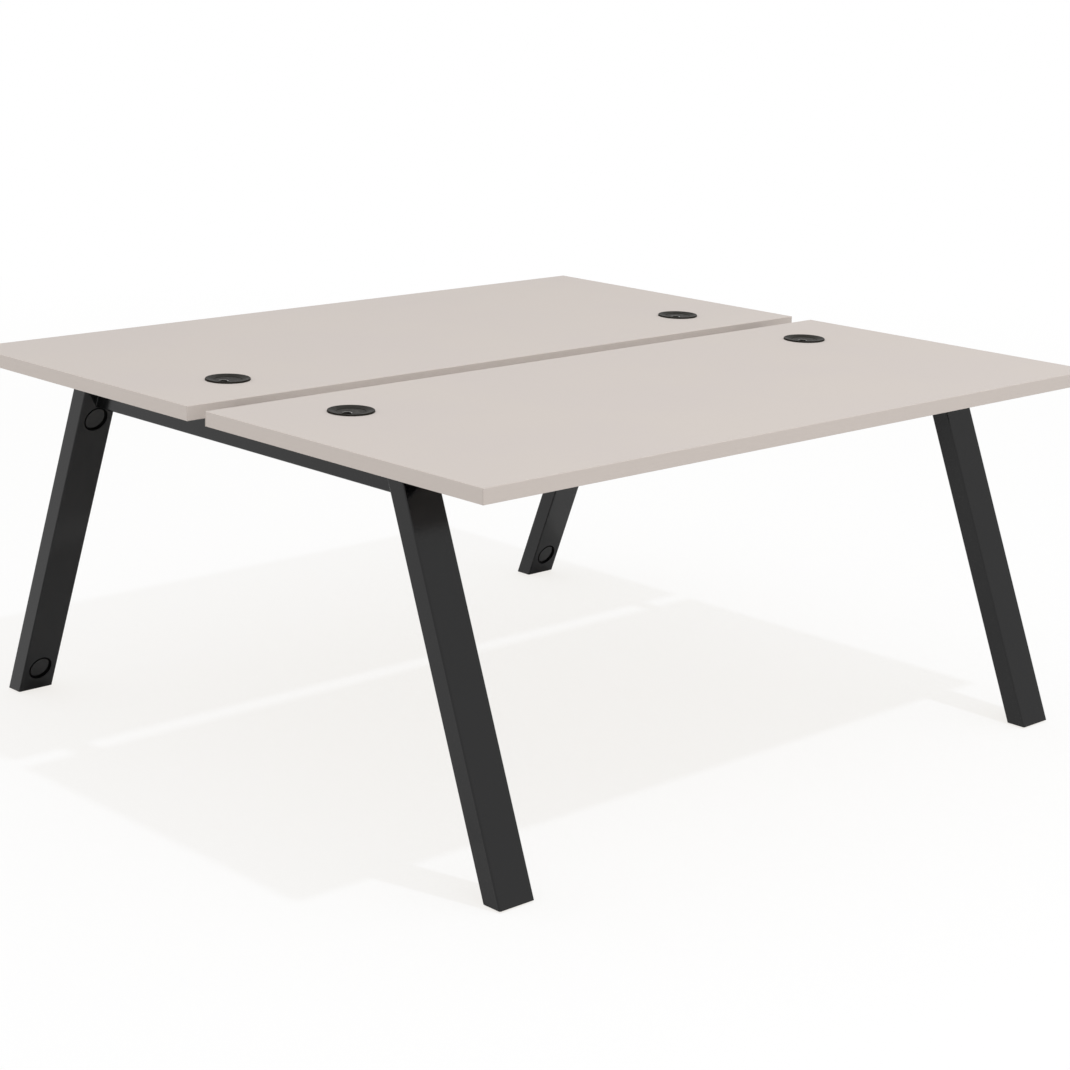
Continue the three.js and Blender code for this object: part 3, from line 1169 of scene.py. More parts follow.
@dataclass
class CablePort:
    """A cable port: a dished ring in the worktop and a notched lid that turns in it."""

    finishes: Finishes
    hole_radius: float = PORT_HOLE_RADIUS
    flange_width: float = 0.004
    rim_height: float = 0.0035
    rim_width: float = 0.0025
    rim_edge: float = 0.0008
    dish_lip: float = 0.0004
    wall: float = 0.002
    sleeve_depth: float = 0.022
    ledge_width: float = 0.003
    lid_inset: float = 0.013
    lid_thickness: float = 0.0026
    skirt_wall: float = 0.0014
    skirt_depth: float = 0.0034
    notch_width: float = 0.015
    notch_reach: float = 0.014
    notch_degrees: float = 210
    grip_width: float = 0.0022
    grip_height: float = 0.0016
    grip_overrun: float = 0.001
    broken_edge: float = 0.0003
    steps: int = 96

    @property
    def lid_radius(self) -> float:
        """Radius of the lid."""
        return self.hole_radius - self.lid_inset

    def build(self) -> None:
        """Models one ring and one lid about the origin and hangs their copies in the worktops."""
        ring = self.ring()
        lid = self.lid()
        turn = Matrix.Rotation(math.radians(self.notch_degrees), 4, "Z")
        for side, place in corner_places():
            seat = middle_of(f"port_ring_{place}")
            seat.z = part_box(f"worktop_{side.word}")[1].z
            motion = Matrix.Translation(seat)
            ring.copied(f"moulded_ring_{place}", motion).fit(DESK, Slot.PLASTIC, f"port_ring_{place}")
            body = f"port_lid_{place}"
            lid.copied(f"moulded_lid_{place}", motion @ turn).fit(body, Slot.PLASTIC, body)
        ring.discard()
        lid.discard()

    def ring(self) -> Workpiece:
        """The ring: a flange with a raised rim, a dish down to the lid's ledge, and a sleeve.

        Returns:
            The ring about the Z axis, with the worktop's upper face at height 0.
        """
        bore = self.lid_radius + PLUG_CLEARANCE
        ledge = -(self.lid_thickness + TOUCH)
        flange = self.hole_radius + self.flange_width
        crest = flange - self.rim_edge - self.rim_width
        sleeve = self.hole_radius - PLUG_CLEARANCE
        slope = (self.rim_height - self.dish_lip) / (crest - bore)
        collar = bore + self.wall
        inside = sleeve - self.wall
        profile = [
            (sleeve, TOUCH),
            (flange, TOUCH),
            (flange, self.rim_height - self.rim_edge),
            (flange - self.rim_edge, self.rim_height),
            (crest, self.rim_height),
            (bore, self.dish_lip),
            (bore, ledge),
            (bore - self.ledge_width, ledge),
            (bore - self.ledge_width, ledge - self.wall),
            (collar, ledge - self.wall),
            (collar, self.dish_lip + slope * (collar - bore) - self.wall),
            (inside, self.dish_lip + slope * (inside - bore) - self.wall),
            (inside, -self.sleeve_depth),
            (sleeve, -self.sleeve_depth),
            (sleeve, TOUCH),
        ]
        made = Workpiece.turned("ring_pattern", profile, self.steps)
        made.soften(self.broken_edge)
        made.polish()
        made.dress(self.finishes.plastic)
        return made

    def lid(self) -> Workpiece:
        """The lid: a skirted disc with a notch along +X and a raised grip round the notch's end.

        Returns:
            The lid about the Z axis, with its upper face at height 0.
        """
        radius = self.lid_radius
        skirt = radius - self.ledge_width
        under = -self.lid_thickness
        profile = [
            (0, under),
            (skirt - self.skirt_wall, under),
            (skirt - self.skirt_wall, under - self.skirt_depth),
            (skirt, under - self.skirt_depth),
            (skirt, under),
            (radius, under),
            (radius, 0),
            (0, 0),
        ]
        made = Workpiece.turned("lid_pattern", profile, self.steps)
        notch_radius = self.notch_width / 2
        notch = Vector((radius - self.notch_reach + notch_radius, 0, 0))
        made.combine(self.grip(notch, notch_radius), Solids.UNION)
        made.combine(self.notch_cutter(notch, notch_radius), Solids.DIFFERENCE)
        made.flatten()
        made.soften(self.broken_edge)
        made.dress(self.finishes.plastic)
        # The grip's crest gets the pale finish: a painted highlight
        glint_crest = self.grip_height - 2 * self.broken_edge
        made.dress_faces(self.finishes.rubbed_plastic, lambda middle, normal: middle.z > glint_crest)
        made.polish()
        return made

    def notch_cutter(self, notch: Vector, notch_radius: float) -> Workpiece:
        """A bar with a round end, as wide as the notch, that runs out past the lid's rim.

        Args:
            notch: The centre of the notch's round end.
            notch_radius: The radius of that end.

        Returns:
            The cutter.
        """
        deep = SPARE * (self.lid_thickness + self.skirt_depth)
        quarter_steps = self.steps // 4
        cutter = Workpiece.block(
            "notch_cutter",
            notch - Vector((notch_radius, notch_radius, deep)),
            notch + Vector((self.lid_radius, notch_radius, deep)),
        )
        cutter.round_edges(
            notch_radius,
            quarter_steps,
            lambda middle, way: middle.x < notch.x and lies_along(way, Z_AXIS),
        )
        cutter.close_seams()
        return cutter

    def grip(self, notch: Vector, notch_radius: float) -> Workpiece:
        """The raised lip that a finger catches: about half of a disc round the end of the notch.

        Args:
            notch: The centre of the notch's round end.
            notch_radius: The radius of that end.

        Returns:
            The half disc, before the notch is cut through it.
        """
        base = -self.lid_thickness / 2
        height = self.grip_height - base
        middle = notch + Z_AXIS * (base + height / 2)
        lip = Workpiece.rod("grip", middle, Z_AXIS, notch_radius + self.grip_width, height, self.steps)
        lip.trim(notch + X_AXIS * self.grip_overrun, X_AXIS)
        return lip


@dataclass(frozen=True)
class CornerPart:
    """A piece that each corner has one of, as modelled once, and how its copies are named and hung."""

    node: str
    name: str
    slot: Slot
    piece: Workpiece
    moves: bool = False


@dataclass
class Corner:
    """One corner of the frame: a splayed leg with its head plate, arm, access plugs and foot.

    Each piece is modelled once, in its place at the front left, where the leg leans towards +Y. All four
    corners get copies of it, and those at the rear are turned half round.
    """

    finishes: Finishes
    leg_width: float = 0.080
    leg_depth: float = 0.040
    leg_wall: float = TUBE_WALL
    leg_radius: float = TUBE_RADIUS
    leg_tilt: float = LEG_TILT
    leg_stock_share: float = 3
    edge_steps: int = EDGE_STEPS
    access_radius: float = 0.025
    plug_flange_width: float = 0.0015
    plug_flange_height: float = 0.0008
    plug_rim: float = 0.002
    plug_lip: float = 0.0016
    plug_dish_depth: float = 0.003
    plug_wall: float = 0.002
    plug_skirt_depth: float = 0.010
    plug_broken_edge: float = 0.0002
    plug_foot_margin: float = 0.0018
    plug_rail_margin: float = 0.0026
    arm_web: float = 0.006
    arm_flange: float = ARM_FLANGE
    arm_nose_length: float = 0.060
    arm_nose_height: float = 0.012
    arm_broken_edge: float = 0.0006
    insert_stock: float = 1.0
    insert_radius: float = 0.00075
    insert_broken_edge: float = 0.0004
    glide_radius: float = 0.013
    glide_height: float = 0.008
    glide_edge: float = 0.0015
    stud_radius: float = 0.004
    thread_pitch: float = 0.00125
    thread_depth: float = 0.0006
    thread_root_start: float = 0.4
    thread_root_end: float = 0.6
    thread_crest_start: float = 0.95
    thread_steps: int = 36
    plug_steps: int = 72
    pattern: str = "front_left"

    def __post_init__(self) -> None:
        """Reads the pattern corner's leg from the frame."""
        self.leg_low, self.leg_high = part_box(f"leg_{self.pattern}")
        self.middle_x = middle_of(f"leg_{self.pattern}").x
        self.inward = Vector((0, math.cos(self.leg_tilt), -math.sin(self.leg_tilt)))

    @property
    def leg_stock(self) -> float:
        """Length of the bar that a leg is sawn from. Its middle lies at the foot, so half of it is waste."""
        return self.leg_stock_share * (self.leg_high.z - self.leg_low.z)

    def outer_face(self, height: float) -> Vector:
        """A point on the middle of the leg's outer face at a height."""
        rise = height - self.leg_low.z
        return Vector((self.middle_x, self.leg_low.y + rise * math.tan(self.leg_tilt), height))

    def inner_face(self, height: float) -> Vector:
        """A point on the middle of the leg's inner face at a height."""
        return self.outer_face(height) + Y_AXIS * self.leg_depth / math.cos(self.leg_tilt)

    def plug_height(self, spot: Spot) -> float:
        """Height of an access hole's centre on the leg's inner face.

        Args:
            spot: Which of the leg's two holes.

        Returns:
            The height.
        """
        reach = (self.access_radius + self.plug_flange_width) * math.cos(self.leg_tilt)
        if spot is Spot.LOWER:
            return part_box(f"foot_insert_{self.pattern}")[1].z + self.plug_foot_margin + reach
        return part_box("end_rail_left")[0].z - self.plug_rail_margin - reach

    def build(self) -> None:
        """Models each piece once and hangs its copies at the four corners."""
        parts = [
            CornerPart("leg", "painted_leg", Slot.PAINT, self.leg()),
            CornerPart("head_plate", "painted_head_plate", Slot.PAINT, self.head_plate()),
            CornerPart("arm", "painted_arm", Slot.PAINT, self.arm()),
            CornerPart("foot_insert", "moulded_foot_insert", Slot.PLASTIC, self.foot_insert()),
            CornerPart("leveller", "threaded_leveller", Slot.STEEL, self.leveller(), moves=True),
        ]
        for spot in Spot:
            node, name = f"access_plug_{spot.value}", f"moulded_plug_{spot.value}"
            parts.append(CornerPart(node, name, Slot.PLASTIC, self.access_plug(spot), moves=True))
        for side, place in corner_places():
            turn = Matrix.Rotation(HALF_TURN if side is Side.REAR else 0, 4, "Z")
            seat = Matrix.Translation(X_AXIS * middle_of(f"leg_{place}").x) @ turn
            motion = seat @ Matrix.Translation(-X_AXIS * self.middle_x)
            for part in parts:
                node = f"{part.node}_{place}"
                copy = part.piece.copied(f"{part.name}_{place}", motion)
                copy.fit(node if part.moves else DESK, part.slot, node)
        for part in parts:
            part.piece.discard()

    def leaning(self, piece: Workpiece) -> None:
        """Leans an upright bar into the place of the leg."""
        foot = (self.outer_face(self.leg_low.z) + self.inner_face(self.leg_low.z)) / 2
        piece.move(Matrix.Translation(foot) @ Matrix.Rotation(-self.leg_tilt, 4, "X"))

    def level_cut(self, piece: Workpiece, node: str) -> None:
        """Saws a leaning bar level at the bottom and top of a node.

        Args:
            piece: The bar.
            node: The node's name.
        """
        low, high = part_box(node)
        piece.trim(low, -Z_AXIS)
        piece.trim(high, Z_AXIS)

    def leg(self) -> Workpiece:
        """The leg: a tube sawn level at both ends, with two access holes in its inner face.

        Returns:
            The leg in its place at the pattern corner.
        """
        tube = Workpiece.tube(
            "leg_pattern",
            self.leg_width,
            self.leg_depth,
            self.leg_stock,
            self.leg_radius,
            self.leg_wall,
            self.edge_steps,
        )
        self.leaning(tube)
        self.level_cut(tube, f"leg_{self.pattern}")
        for spot in Spot:
            centre = self.inner_face(self.plug_height(spot))
            tube.drill(centre, self.inward, self.access_radius, self.leg_depth, self.plug_steps)
        tube.polish()
        tube.dress(self.finishes.paint)
        return tube

    def head_plate(self) -> Workpiece:
        """The plate that closes the top of the leg.

        Returns:
            The plate in its place at the pattern corner.
        """
        plate = Workpiece.bar(
            "head_plate_pattern",
            self.leg_width,
            self.leg_depth,
            self.leg_stock,
            self.leg_radius,
            self.edge_steps,
        )
        self.leaning(plate)
        self.level_cut(plate, f"head_plate_{self.pattern}")
        plate.polish()
        plate.dress(self.finishes.paint)
        return plate

    def arm(self) -> Workpiece:
        """The arm: a T-bar sawn to the slope of the leg, with a tapered nose.

        Returns:
            The arm in its place at the pattern corner.
        """
        low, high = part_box(f"arm_{self.pattern}")
        web = Workpiece.block(
            "arm_pattern",
            Vector((self.middle_x - self.arm_web / 2, low.y, low.z)),
            Vector((self.middle_x + self.arm_web / 2, high.y, high.z - self.arm_flange / 2)),
        )
        nose = Vector((0, low.y, high.z - self.arm_nose_height))
        rise = high.z - low.z - self.arm_nose_height
        web.trim(nose, Vector((0, -rise, -self.arm_nose_length)).normalized())
        flange = Workpiece.block("flange", Vector((low.x, low.y, high.z - self.arm_flange)), high)
        web.combine(flange, Solids.UNION)
        web.trim(self.outer_face(high.z), self.inward)
        web.soften(self.arm_broken_edge)
        web.polish()
        web.dress(self.finishes.paint)
        return web

    def foot_insert(self) -> Workpiece:
        """The plastic insert in the end of the leg, bored for the leveller.

        Returns:
            The insert in its place at the pattern corner.
        """
        node = f"foot_insert_{self.pattern}"
        low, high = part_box(node)
        inset = 2 * (self.leg_wall + PLUG_CLEARANCE)
        block = Workpiece.bar(
            "foot_insert_pattern",
            self.leg_width - inset,
            self.leg_depth - inset,
            self.insert_stock,
            self.insert_radius,
            self.edge_steps,
        )
        self.leaning(block)
        self.level_cut(block, node)
        stud = middle_of(f"leveller_{self.pattern}")
        glide = Vector((stud.x, stud.y, 0))
        recess = self.glide_height + TOUCH
        block.drill(glide, Z_AXIS, self.glide_radius + PLUG_CLEARANCE, 2 * recess)
        block.drill(stud, Z_AXIS, self.stud_radius + TOUCH, 2 * SPARE * (high.z - low.z))
        block.soften(self.insert_broken_edge)
        block.polish()
        block.dress(self.finishes.plastic)
        return block

    def leveller(self) -> Workpiece:
        """The leveller: a turned glide and a stud with a rolled thread.

        Returns:
            The leveller in its place at the pattern corner.
        """
        low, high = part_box(f"leveller_{self.pattern}")
        length = high.z - low.z
        profile = [
            (0, 0),
            (self.glide_radius - self.glide_edge, 0),
            (self.glide_radius, self.glide_edge),
            (self.glide_radius, self.glide_height - self.glide_edge),
            (self.glide_radius - self.glide_edge, self.glide_height),
            (self.stud_radius, self.glide_height),
        ]
        core = self.stud_radius - self.thread_depth
        turns = int((length - self.glide_edge - self.glide_height) / self.thread_pitch)
        for turn in range(turns):
            start = self.glide_height + turn * self.thread_pitch
            profile.append((core, start + self.thread_root_start * self.thread_pitch))
            profile.append((core, start + self.thread_root_end * self.thread_pitch))
            profile.append((self.stud_radius, start + self.thread_crest_start * self.thread_pitch))
        profile.append((self.stud_radius - self.glide_edge, length))
        profile.append((0, length))
        made = Workpiece.turned("leveller_pattern", profile, self.thread_steps)
        made.move(Matrix.Translation(((low.x + high.x) / 2, (low.y + high.y) / 2, low.z)))
        made.polish()
        made.dress(self.finishes.zinc)
        return made

    def access_plug(self, spot: Spot) -> Workpiece:
        """A plug in one of the leg's access holes: a bright dish inside a rim painted near-black as shade.

        Args:
            spot: Which of the leg's two holes.

        Returns:
            The plug in its place.
        """
        body = self.access_radius - PLUG_CLEARANCE
        flange = self.access_radius + self.plug_flange_width
        dish = body - self.plug_rim
        skirt = body - self.plug_wall
        edge = self.plug_flange_height
        profile = [
            (0, -self.plug_dish_depth - self.plug_wall),
            (skirt, -self.plug_dish_depth - self.plug_wall),
            (skirt, -self.plug_skirt_depth),
            (body - edge, -self.plug_skirt_depth),
            (body, -self.plug_skirt_depth + self.plug_wall),
            (body, TOUCH),
            (flange, TOUCH),
            (flange, edge / 2),
            (flange - edge / 2, edge),
            (dish + self.plug_lip, edge),
            (dish + edge / 2, 0),
            (dish, -self.plug_dish_depth),
            (0, -self.plug_dish_depth),
        ]
        made = Workpiece.turned(f"plug_{spot.value}_pattern", profile, self.plug_steps)
        made.soften(self.plug_broken_edge)
        made.dress(self.finishes.glossy_plastic)
        # The rim and the dish wall get the near-black finish: painted shade
        made.dress_faces(
            self.finishes.rim_plastic,
            lambda middle, normal: middle.z > -self.plug_dish_depth and middle.xy.length > dish - TOUCH,
        )
        place = Matrix.Translation(self.inner_face(self.plug_height(spot)))
        made.move(place @ Matrix.Rotation(-self.leg_tilt - QUARTER_TURN, 4, "X"))
        made.polish()
        return made


@dataclass
class EndRail:
    """The rail across one end: a tube sawn to the slope of the two legs that it joins."""

    end: End
    finishes: Finishes
    wall: float = TUBE_WALL
    radius: float = TUBE_RADIUS
    leg_tilt: float = LEG_TILT
    edge_steps: int = EDGE_STEPS

    def build(self) -> None:
        """Models and hangs the rail."""
        node = f"end_rail_{self.end.word}"
        low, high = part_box(node)
        size = high - low
        rail = Workpiece.tube(
            f"painted_rail_{self.end.word}",
            size.x,
            size.z,
            SPARE * size.y,
            self.radius,
            self.wall,
            self.edge_steps,
        )
        rail.move(Matrix.Translation(middle_of(node)) @ Matrix.Rotation(QUARTER_TURN, 4, "X"))
        for side in Side:
            seat = low if side is Side.FRONT else Vector((low.x, high.y, low.z))
            slope = Vector((0, side.value * math.cos(self.leg_tilt), math.sin(self.leg_tilt)))
            rail.trim(seat + slope * WELD_GAP, slope)
        rail.polish()
        rail.dress(self.finishes.paint)
        rail.fit(DESK, Slot.PAINT, node)


@dataclass
class Beam:
    """A beam along the desk: a tube with an end plate welded on at each end."""

    side: Side
    line: Line
    finishes: Finishes
    width: float = 0.030
    wall: float = TUBE_WALL
    radius: float = TUBE_RADIUS
    plate_thickness: float = PLATE_THICKNESS
    plate_radius: float = 0.004
    edge_steps: int = EDGE_STEPS

    def build(self) -> None:
        """Models and hangs the beam."""
        node = f"beam_{self.side.word}_{self.line.value}"
        low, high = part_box(node)
        size = high - low
        middle = middle_of(node)
        length = size.x - 2 * self.plate_thickness
        turn = Matrix.Rotation(QUARTER_TURN, 4, "Y")
        tube = Workpiece.tube(
            f"painted_beam_{self.side.word}_{self.line.value}",
            size.z,
            self.width,
            length,
            self.radius,
            self.wall,
            self.edge_steps,
        )
        tube.move(Matrix.Translation(middle) @ turn)
        plates = []
        for end in End:
            plate = Workpiece.bar(
                "end_plate", size.z, size.y, self.plate_thickness, self.plate_radius, self.edge_steps
            )
            reach = X_AXIS * end.value * (length + self.plate_thickness) / 2
            plate.move(Matrix.Translation(middle + reach) @ turn)
            plates.append(plate)
        tube.join(plates)
        tube.polish()
        tube.dress(self.finishes.paint)
        tube.fit(DESK, Slot.PAINT, node)


@dataclass
class WeldBeads:
    """The fillet welds where the end rails meet the legs: rippled beads, ground flat at the top."""

    finishes: Finishes
    bead_radius: float = 0.0011
    ripple: float = 0.16
    ripple_points: int = 3
    point_spacing: float = 0.0008
    rail_radius: float = TUBE_RADIUS
    leg_tilt: float = LEG_TILT
    corner_steps: int = 2
    round_steps: int = 2
    smooth_below: float = 60

    def build(self) -> None:
        """Models one bead for each end of each rail."""
        for end in End:
            low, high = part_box(f"end_rail_{end.word}")
            for side in Side:
                self.build_bead(f"weld_{side.word}_{end.word}", side, low, high)

    def build_bead(self, name: str, side: Side, low: Vector, high: Vector) -> None:
        """Models and hangs one bead.

        Args:
            name: The bead's name.
            side: The rail's end that it joins to a leg.
            low: The lowest corner of the rail.
            high: The highest corner of the rail.
        """
        bead = self.loop(name, high.x - low.x, (high.z - low.z) / math.cos(self.leg_tilt))
        reach = (high.z - low.z) / 2 * math.tan(self.leg_tilt)
        seat = Vector(((low.x + high.x) / 2, high.y - reach, (low.z + high.z) / 2))
        seat.y *= side.value
        tilt = Matrix.Rotation(QUARTER_TURN + side.value * self.leg_tilt, 4, "X")
        bead.move(Matrix.Translation(seat) @ tilt)
        bead.trim(high, Z_AXIS)
        bead.polish(self.smooth_below)
        bead.dress(self.finishes.paint)
        bead.fit(DESK, Slot.PAINT)

    def loop(self, name: str, width: float, height: float) -> Workpiece:
        """A bead laid round a rounded rectangle about the Z axis.

        Args:
            name: The bead's name.
            width: The rectangle's size along X.
            height: The rectangle's size along Y.

        Returns:
            The bead as a mesh.
        """
        Workpiece.clear_selection()
        bpy.ops.mesh.primitive_plane_add(size=1)
        made = Workpiece.added(name)
        made.move(Matrix.Diagonal((width, height, 1, 1)))
        with made.editing(Element.VERTICES):
            bpy.ops.mesh.select_all(action="SELECT")
            bpy.ops.mesh.bevel(offset=self.rail_radius, segments=self.corner_steps, affect="VERTICES")
            bpy.ops.mesh.select_all(action="SELECT")
            bpy.ops.mesh.delete(type="ONLY_FACE")
            bpy.ops.mesh.select_all(action="SELECT")
            bpy.ops.mesh.subdivide(number_cuts=round(height / self.point_spacing))
        bpy.ops.object.convert(target="CURVE")
        curve = made.thing.data
        curve.dimensions = "3D"
        curve.bevel_depth = self.bead_radius
        curve.bevel_resolution = self.round_steps
        for spline in curve.splines:
            for number, point in enumerate(spline.points):
                point.radius = 1 + self.ripple * math.sin(2 * HALF_TURN * number / self.ripple_points)
        bpy.ops.object.convert(target="MESH")
        return made


@dataclass
class Fasteners:
    """The bolts that hold the beams to the end rails, and the screws that hold the tops to the arms."""

    finishes: Finishes
    bolt_spacing: float = 0.064
    bolt_head_radius: float = 0.0075
    bolt_head_height: float = 0.0053
    bolt_chamfer: float = 0.0011
    bolt_sides: int = 6
    bolt_turn: float = 0.4
    bolt_turn_by_row: float = 0.3
    bolt_turn_by_end: float = 0.2
    washer_radius: float = 0.008
    washer_height: float = 0.0016
    washer_edge: float = 0.0002
    plate_thickness: float = PLATE_THICKNESS
    screw_radius: float = 0.0045
    screw_height: float = 0.0030
    screw_crown: tuple[tuple[float, float], ...] = ((1.0, 0.35), (0.94, 0.62), (0.80, 0.84), (0.55, 0.97))
    screw_offset: float = 0.012
    screw_insets: tuple[float, float] = (0.025, 0.150)
    screw_turn: float = 0.5
    drive_length: float = 0.0052
    drive_width: float = 0.0009
    drive_floor: float = 0.4
    arm_flange: float = ARM_FLANGE
    steps: int = 40
    smooth_below: float = 25

    def build(self) -> None:
        """Models one bolt and one screw and hangs their copies."""
        bolt = self.bolt()
        for side in Side:
            for line in Line:
                self.hang_bolts(bolt, side, line)
        bolt.discard()
        screw = self.screw()
        for side, place in corner_places():
            self.hang_screws(screw, side, place)
        screw.discard()

    def bolt(self) -> Workpiece:
        """A hexagon head on its washer.

        Returns:
            The bolt, standing on the origin along +Z.
        """
        head = Workpiece.rod(
            "bolt_pattern",
            Z_AXIS * (self.washer_height + self.bolt_head_height / 2),
            Z_AXIS,
            self.bolt_head_radius,
            self.bolt_head_height,
            self.bolt_sides,
        )
        top = self.washer_height + self.bolt_head_height
        wide = self.bolt_head_radius
        narrow = wide * math.cos(HALF_TURN / self.bolt_sides) - self.bolt_chamfer / 4
        chamfer = [
            (0, 0),
            (SPARE * wide, 0),
            (SPARE * wide, top - self.bolt_chamfer),
            (wide + self.bolt_chamfer, top - self.bolt_chamfer),
            (narrow, top),
            (0, top),
        ]
        head.combine(Workpiece.turned("chamfer", chamfer, self.steps), Solids.INTERSECT)
        disc = [
            (0, 0),
            (self.washer_radius, 0),
            (self.washer_radius, self.washer_height),
            (0, self.washer_height),
        ]
        washer = Workpiece.turned("washer", disc, self.steps)
        washer.soften(self.washer_edge)
        head.join([washer])
        head.polish(self.smooth_below)
        head.dress(self.finishes.zinc)
        return head

    def hang_bolts(self, bolt: Workpiece, side: Side, line: Line) -> None:
        """Hangs the four bolts of one beam, with their heads on its end plates.

        Args:
            bolt: The pattern.
            side: The beam's side.
            line: The beam's line.
        """
        low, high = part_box(f"beam_{side.word}_{line.value}")
        for end in End:
            face = (high.x if end is End.RIGHT else low.x) - end.value * (self.plate_thickness + TOUCH)
            aim = Matrix.Rotation(-end.value * QUARTER_TURN, 4, "Y")
            for row in Row:
                across = (low.y + high.y + row.value * self.bolt_spacing) / 2
                spot = Vector((face, across, (low.z + high.z) / 2))
                turn = self.bolt_turn + row.value * self.bolt_turn_by_row + end.value * self.bolt_turn_by_end
                motion = Matrix.Translation(spot) @ aim @ Matrix.Rotation(turn, 4, "Z")
                name = f"bolt_{side.word}_{line.value}_{end.word}_{row.word}"
                bolt.copied(name, motion).fit(DESK, Slot.STEEL)

    def screw(self) -> Workpiece:
        """A pan head with a cross drive.

        Returns:
            The screw's head, hanging from the origin along -Z.
        """
        radius = self.screw_radius
        depth = self.screw_height
        profile = [(0, 0), (radius, 0)]
        for width_share, depth_share in self.screw_crown:
            profile.append((width_share * radius, -depth_share * depth))
        profile.append((0, -depth))
        head = Workpiece.turned("screw_pattern", profile, self.steps)
        for long, wide in ((self.drive_length, self.drive_width), (self.drive_width, self.drive_length)):
            low = Vector((-long / 2, -wide / 2, -SPARE * depth))
            high = Vector((long / 2, wide / 2, -self.drive_floor * depth))
            head.combine(Workpiece.block("drive", low, high), Solids.DIFFERENCE)
        head.polish(self.smooth_below)
        head.dress(self.finishes.zinc)
        return head

    def hang_screws(self, screw: Workpiece, side: Side, place: str) -> None:
        """Hangs the four screws of one arm under its flange.

        Args:
            screw: The pattern.
            side: The arm's side.
            place: The words that end the arm's name.
        """
        low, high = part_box(f"arm_{place}")
        nose = low.y if side is Side.FRONT else high.y
        for number, inset in enumerate(self.screw_insets):
            for flank in End:
                spot = Vector((
                    (low.x + high.x) / 2 + flank.value * self.screw_offset,
                    nose - side.value * inset,
                    high.z - self.arm_flange - TOUCH,
                ))
                turn = Matrix.Rotation(flank.value * self.screw_turn + number, 4, "Z")
                name = f"screw_{place}_{number}_{flank.word}"
                screw.copied(name, Matrix.Translation(spot) @ turn).fit(DESK, Slot.STEEL)


# Studio


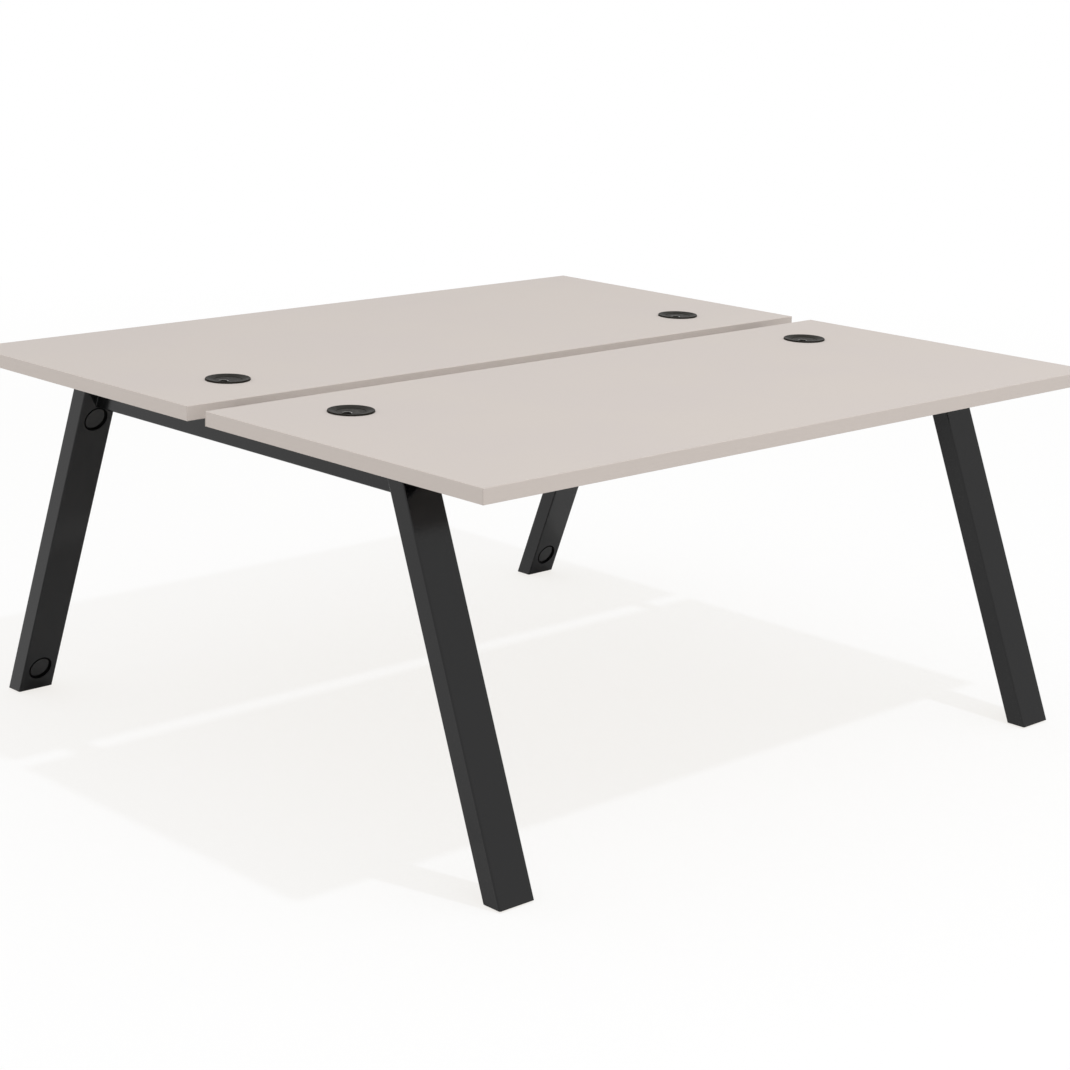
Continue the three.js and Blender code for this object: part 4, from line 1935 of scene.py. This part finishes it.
@dataclass(frozen=True)
class Studio:
    """A white floor and surround, a small key lamp high over the front, and a weak fill lamp at the left.

    The key lamp is small, so that the gap between the tops draws a bright line on the floor. A grey flag
    in the surround darkens what the front right leg mirrors.
    """

    floor_size: float = 60.0
    floor_bounce: float = 0.85
    floor_glow: tuple[float, float, float] = (0.805, 0.782, 0.745)
    floor_sheen: float = 0.95
    sheen_facing: float = 0.60
    sheen_softness: float = 0.26
    shadow_reach: float = 4.0
    surround: float = 0.77
    flag_side: Vector = field(default_factory=lambda: Vector((0.90, -0.43, 0.10)))
    flag_reach: float = 0.945
    flag_softness: float = 0.06
    flag_shade: float = 0.27
    key_place: Vector = field(default_factory=lambda: Vector((0.62, -3.2, 7.24)))
    key_size: float = 0.28
    key_power: float = 160.0
    fill_place: Vector = field(default_factory=lambda: Vector((-6.0, 2.0, 1.6)))
    fill_size: float = 3.0
    fill_power: float = 16.0
    target: Vector = field(default_factory=lambda: Vector((0, 0, 0.6)))

    def build(self) -> None:
        """Sets the floor, the surround and the lamps."""
        bpy.context.scene.view_settings.view_transform = "Standard"
        self.floor()
        self.white_surround()
        self.lamp("key_lamp", self.key_place, self.key_size, self.key_power)
        self.lamp("fill_lamp", self.fill_place, self.fill_size, self.fill_power)

    @staticmethod
    def rays(sheet: NodeSheet) -> tuple[Value, Value]:
        """Tells apart the ways in which the stage is seen.

        Args:
            sheet: Where the nodes lie.

        Returns:
            A mask of what the camera sees, and one of what a reflection or a clear piece shows.
        """
        kinds = sheet.node("ShaderNodeLightPath").outputs
        camera = Value(sheet, kinds["Is Camera Ray"])
        glossy = Value(sheet, kinds["Is Glossy Ray"])
        through = Value(sheet, kinds["Is Transmission Ray"])
        return camera, glossy + through

    def floor(self) -> None:
        """A pale floor that shows near white, keeps the desk's shadow and has a sheen at low angles."""
        Workpiece.clear_selection()
        bpy.ops.mesh.primitive_plane_add(size=self.floor_size)
        floor = Workpiece.added("studio_floor")
        mixer = FinishMixer("white_floor")
        camera, reflected = self.rays(mixer)
        unseen = mixer.blend(reflected, mixer.matt(grey(self.floor_bounce)), self.floor_mirrored(mixer))
        floor.dress(mixer.closed(mixer.blend(camera, unseen, self.floor_shown(mixer))))

    def floor_mirrored(self, mixer: FinishMixer) -> bpy.types.NodeSocket:
        """The floor as the desk mirrors it: lit white from above, and its own sheen at low angles.

        Args:
            mixer: The floor's finish.

        Returns:
            The socket that gives the surface.
        """
        facing = Value(mixer, mixer.node("ShaderNodeLayerWeight").outputs["Facing"])
        low_angle = facing.above(self.sheen_facing, self.sheen_softness)
        return mixer.blend(low_angle, mixer.matt(WHITE), mixer.glow(WHITE, self.floor_sheen))

    def floor_shown(self, mixer: FinishMixer) -> bpy.types.NodeSocket:
        """The floor as the camera sees it: near the desk it glows and takes a shadow, far off it is white.

        Args:
            mixer: The floor's finish.

        Returns:
            The socket that gives the surface.
        """
        red, green, blue = self.floor_glow
        glow = mixer.glow((red, green, blue, 1.0))
        lit = mixer.matt((1 - red, 1 - green, 1 - blue, 1.0))
        near = mixer.node("ShaderNodeAddShader", {}, {0: lit, 1: glow}).outputs[0]
        reach = mixer.node("ShaderNodeVectorMath", {"operation": "LENGTH"}, {0: mixer.place})
        fade = Value(mixer, reach.outputs["Value"]).above(self.shadow_reach, self.shadow_reach)
        return mixer.blend(fade, near, mixer.glow(WHITE))

    def white_surround(self) -> None:
        """A surround that shows white and lights a little less, with a grey flag that reflections show."""
        world = bpy.data.worlds.new("white_surround")
        world.use_nodes = True
        bpy.context.scene.world = world
        sheet = NodeSheet(world.node_tree)
        camera, reflected = self.rays(sheet)
        direction = sheet.node("ShaderNodeTexCoord").outputs["Generated"]
        towards = {0: direction, 1: self.flag_side}
        turned = sheet.node("ShaderNodeVectorMath", {"operation": "DOT_PRODUCT"}, towards)
        flag = Value(sheet, turned.outputs["Value"]).above(self.flag_reach, self.flag_softness)
        white = self.surround + (1 - self.surround) * (camera + reflected)
        strength = white - self.flag_shade * flag * reflected
        light = sheet.node("ShaderNodeBackground", {}, {"Color": WHITE, "Strength": strength}).outputs[0]
        sheet.node("ShaderNodeOutputWorld", {}, {"Surface": light})

    def lamp(self, name: str, place: Vector, size: float, power: float) -> None:
        """A round lamp that looks at the desk.

        Args:
            name: The lamp's name.
            place: Where it stands.
            size: Its diameter.
            power: Its power in watts.
        """
        Workpiece.clear_selection()
        aim = (self.target - place).to_track_quat("-Z", "Y").to_euler()
        bpy.ops.object.light_add(type="AREA", location=place, rotation=aim)
        lamp = bpy.context.object
        lamp.name = name
        lamp.data.shape = "DISK"
        lamp.data.size = size
        lamp.data.energy = power


@dataclass(frozen=True)
class PhotoCamera:
    """The camera that took the photograph, with its lens shift kept small."""

    place: Vector = field(default_factory=lambda: Vector((-3.416, -3.590, 1.661)))
    yaw: float = math.radians(47.11)
    pitch: float = math.radians(-10.92)
    roll: float = math.radians(-1.21)
    lens: float = 82.99
    sensor: float = 36.0
    shift_x: float = 0.03
    shift_y: float = -0.15

    def build(self) -> None:
        """Sets the camera up."""
        forward = Vector((
            math.cos(self.pitch) * math.cos(self.yaw),
            math.cos(self.pitch) * math.sin(self.yaw),
            math.sin(self.pitch),
        ))
        level = Vector((math.sin(self.yaw), -math.cos(self.yaw), 0))
        down = forward.cross(level)
        right = math.cos(self.roll) * level + math.sin(self.roll) * down
        up = forward.cross(right) * -1
        Workpiece.clear_selection()
        bpy.ops.object.camera_add()
        camera = bpy.context.object
        camera.name = "photo_camera"
        turn = Matrix((right, up, -forward)).transposed().to_4x4()
        camera.matrix_world = Matrix.Translation(self.place) @ turn
        camera.data.lens = self.lens
        camera.data.sensor_width = self.sensor
        camera.data.shift_x = self.shift_x
        camera.data.shift_y = self.shift_y
        bpy.context.scene.camera = camera


def main() -> None:
    """Builds the studio and then the desk, one sub-assembly after another."""
    logging.basicConfig(level=logging.INFO, format="%(message)s")
    Studio().build()
    PhotoCamera().build()
    finishes = Finishes.mixed()
    for side in Side:
        Worktop(side, finishes).build()
        for line in Line:
            Beam(side, line, finishes).build()
    CablePort(finishes).build()
    Corner(finishes).build()
    for end in End:
        EndRail(end, finishes).build()
    WeldBeads(finishes).build()
    Fasteners(finishes).build()


if __name__ == "__main__":
    main()
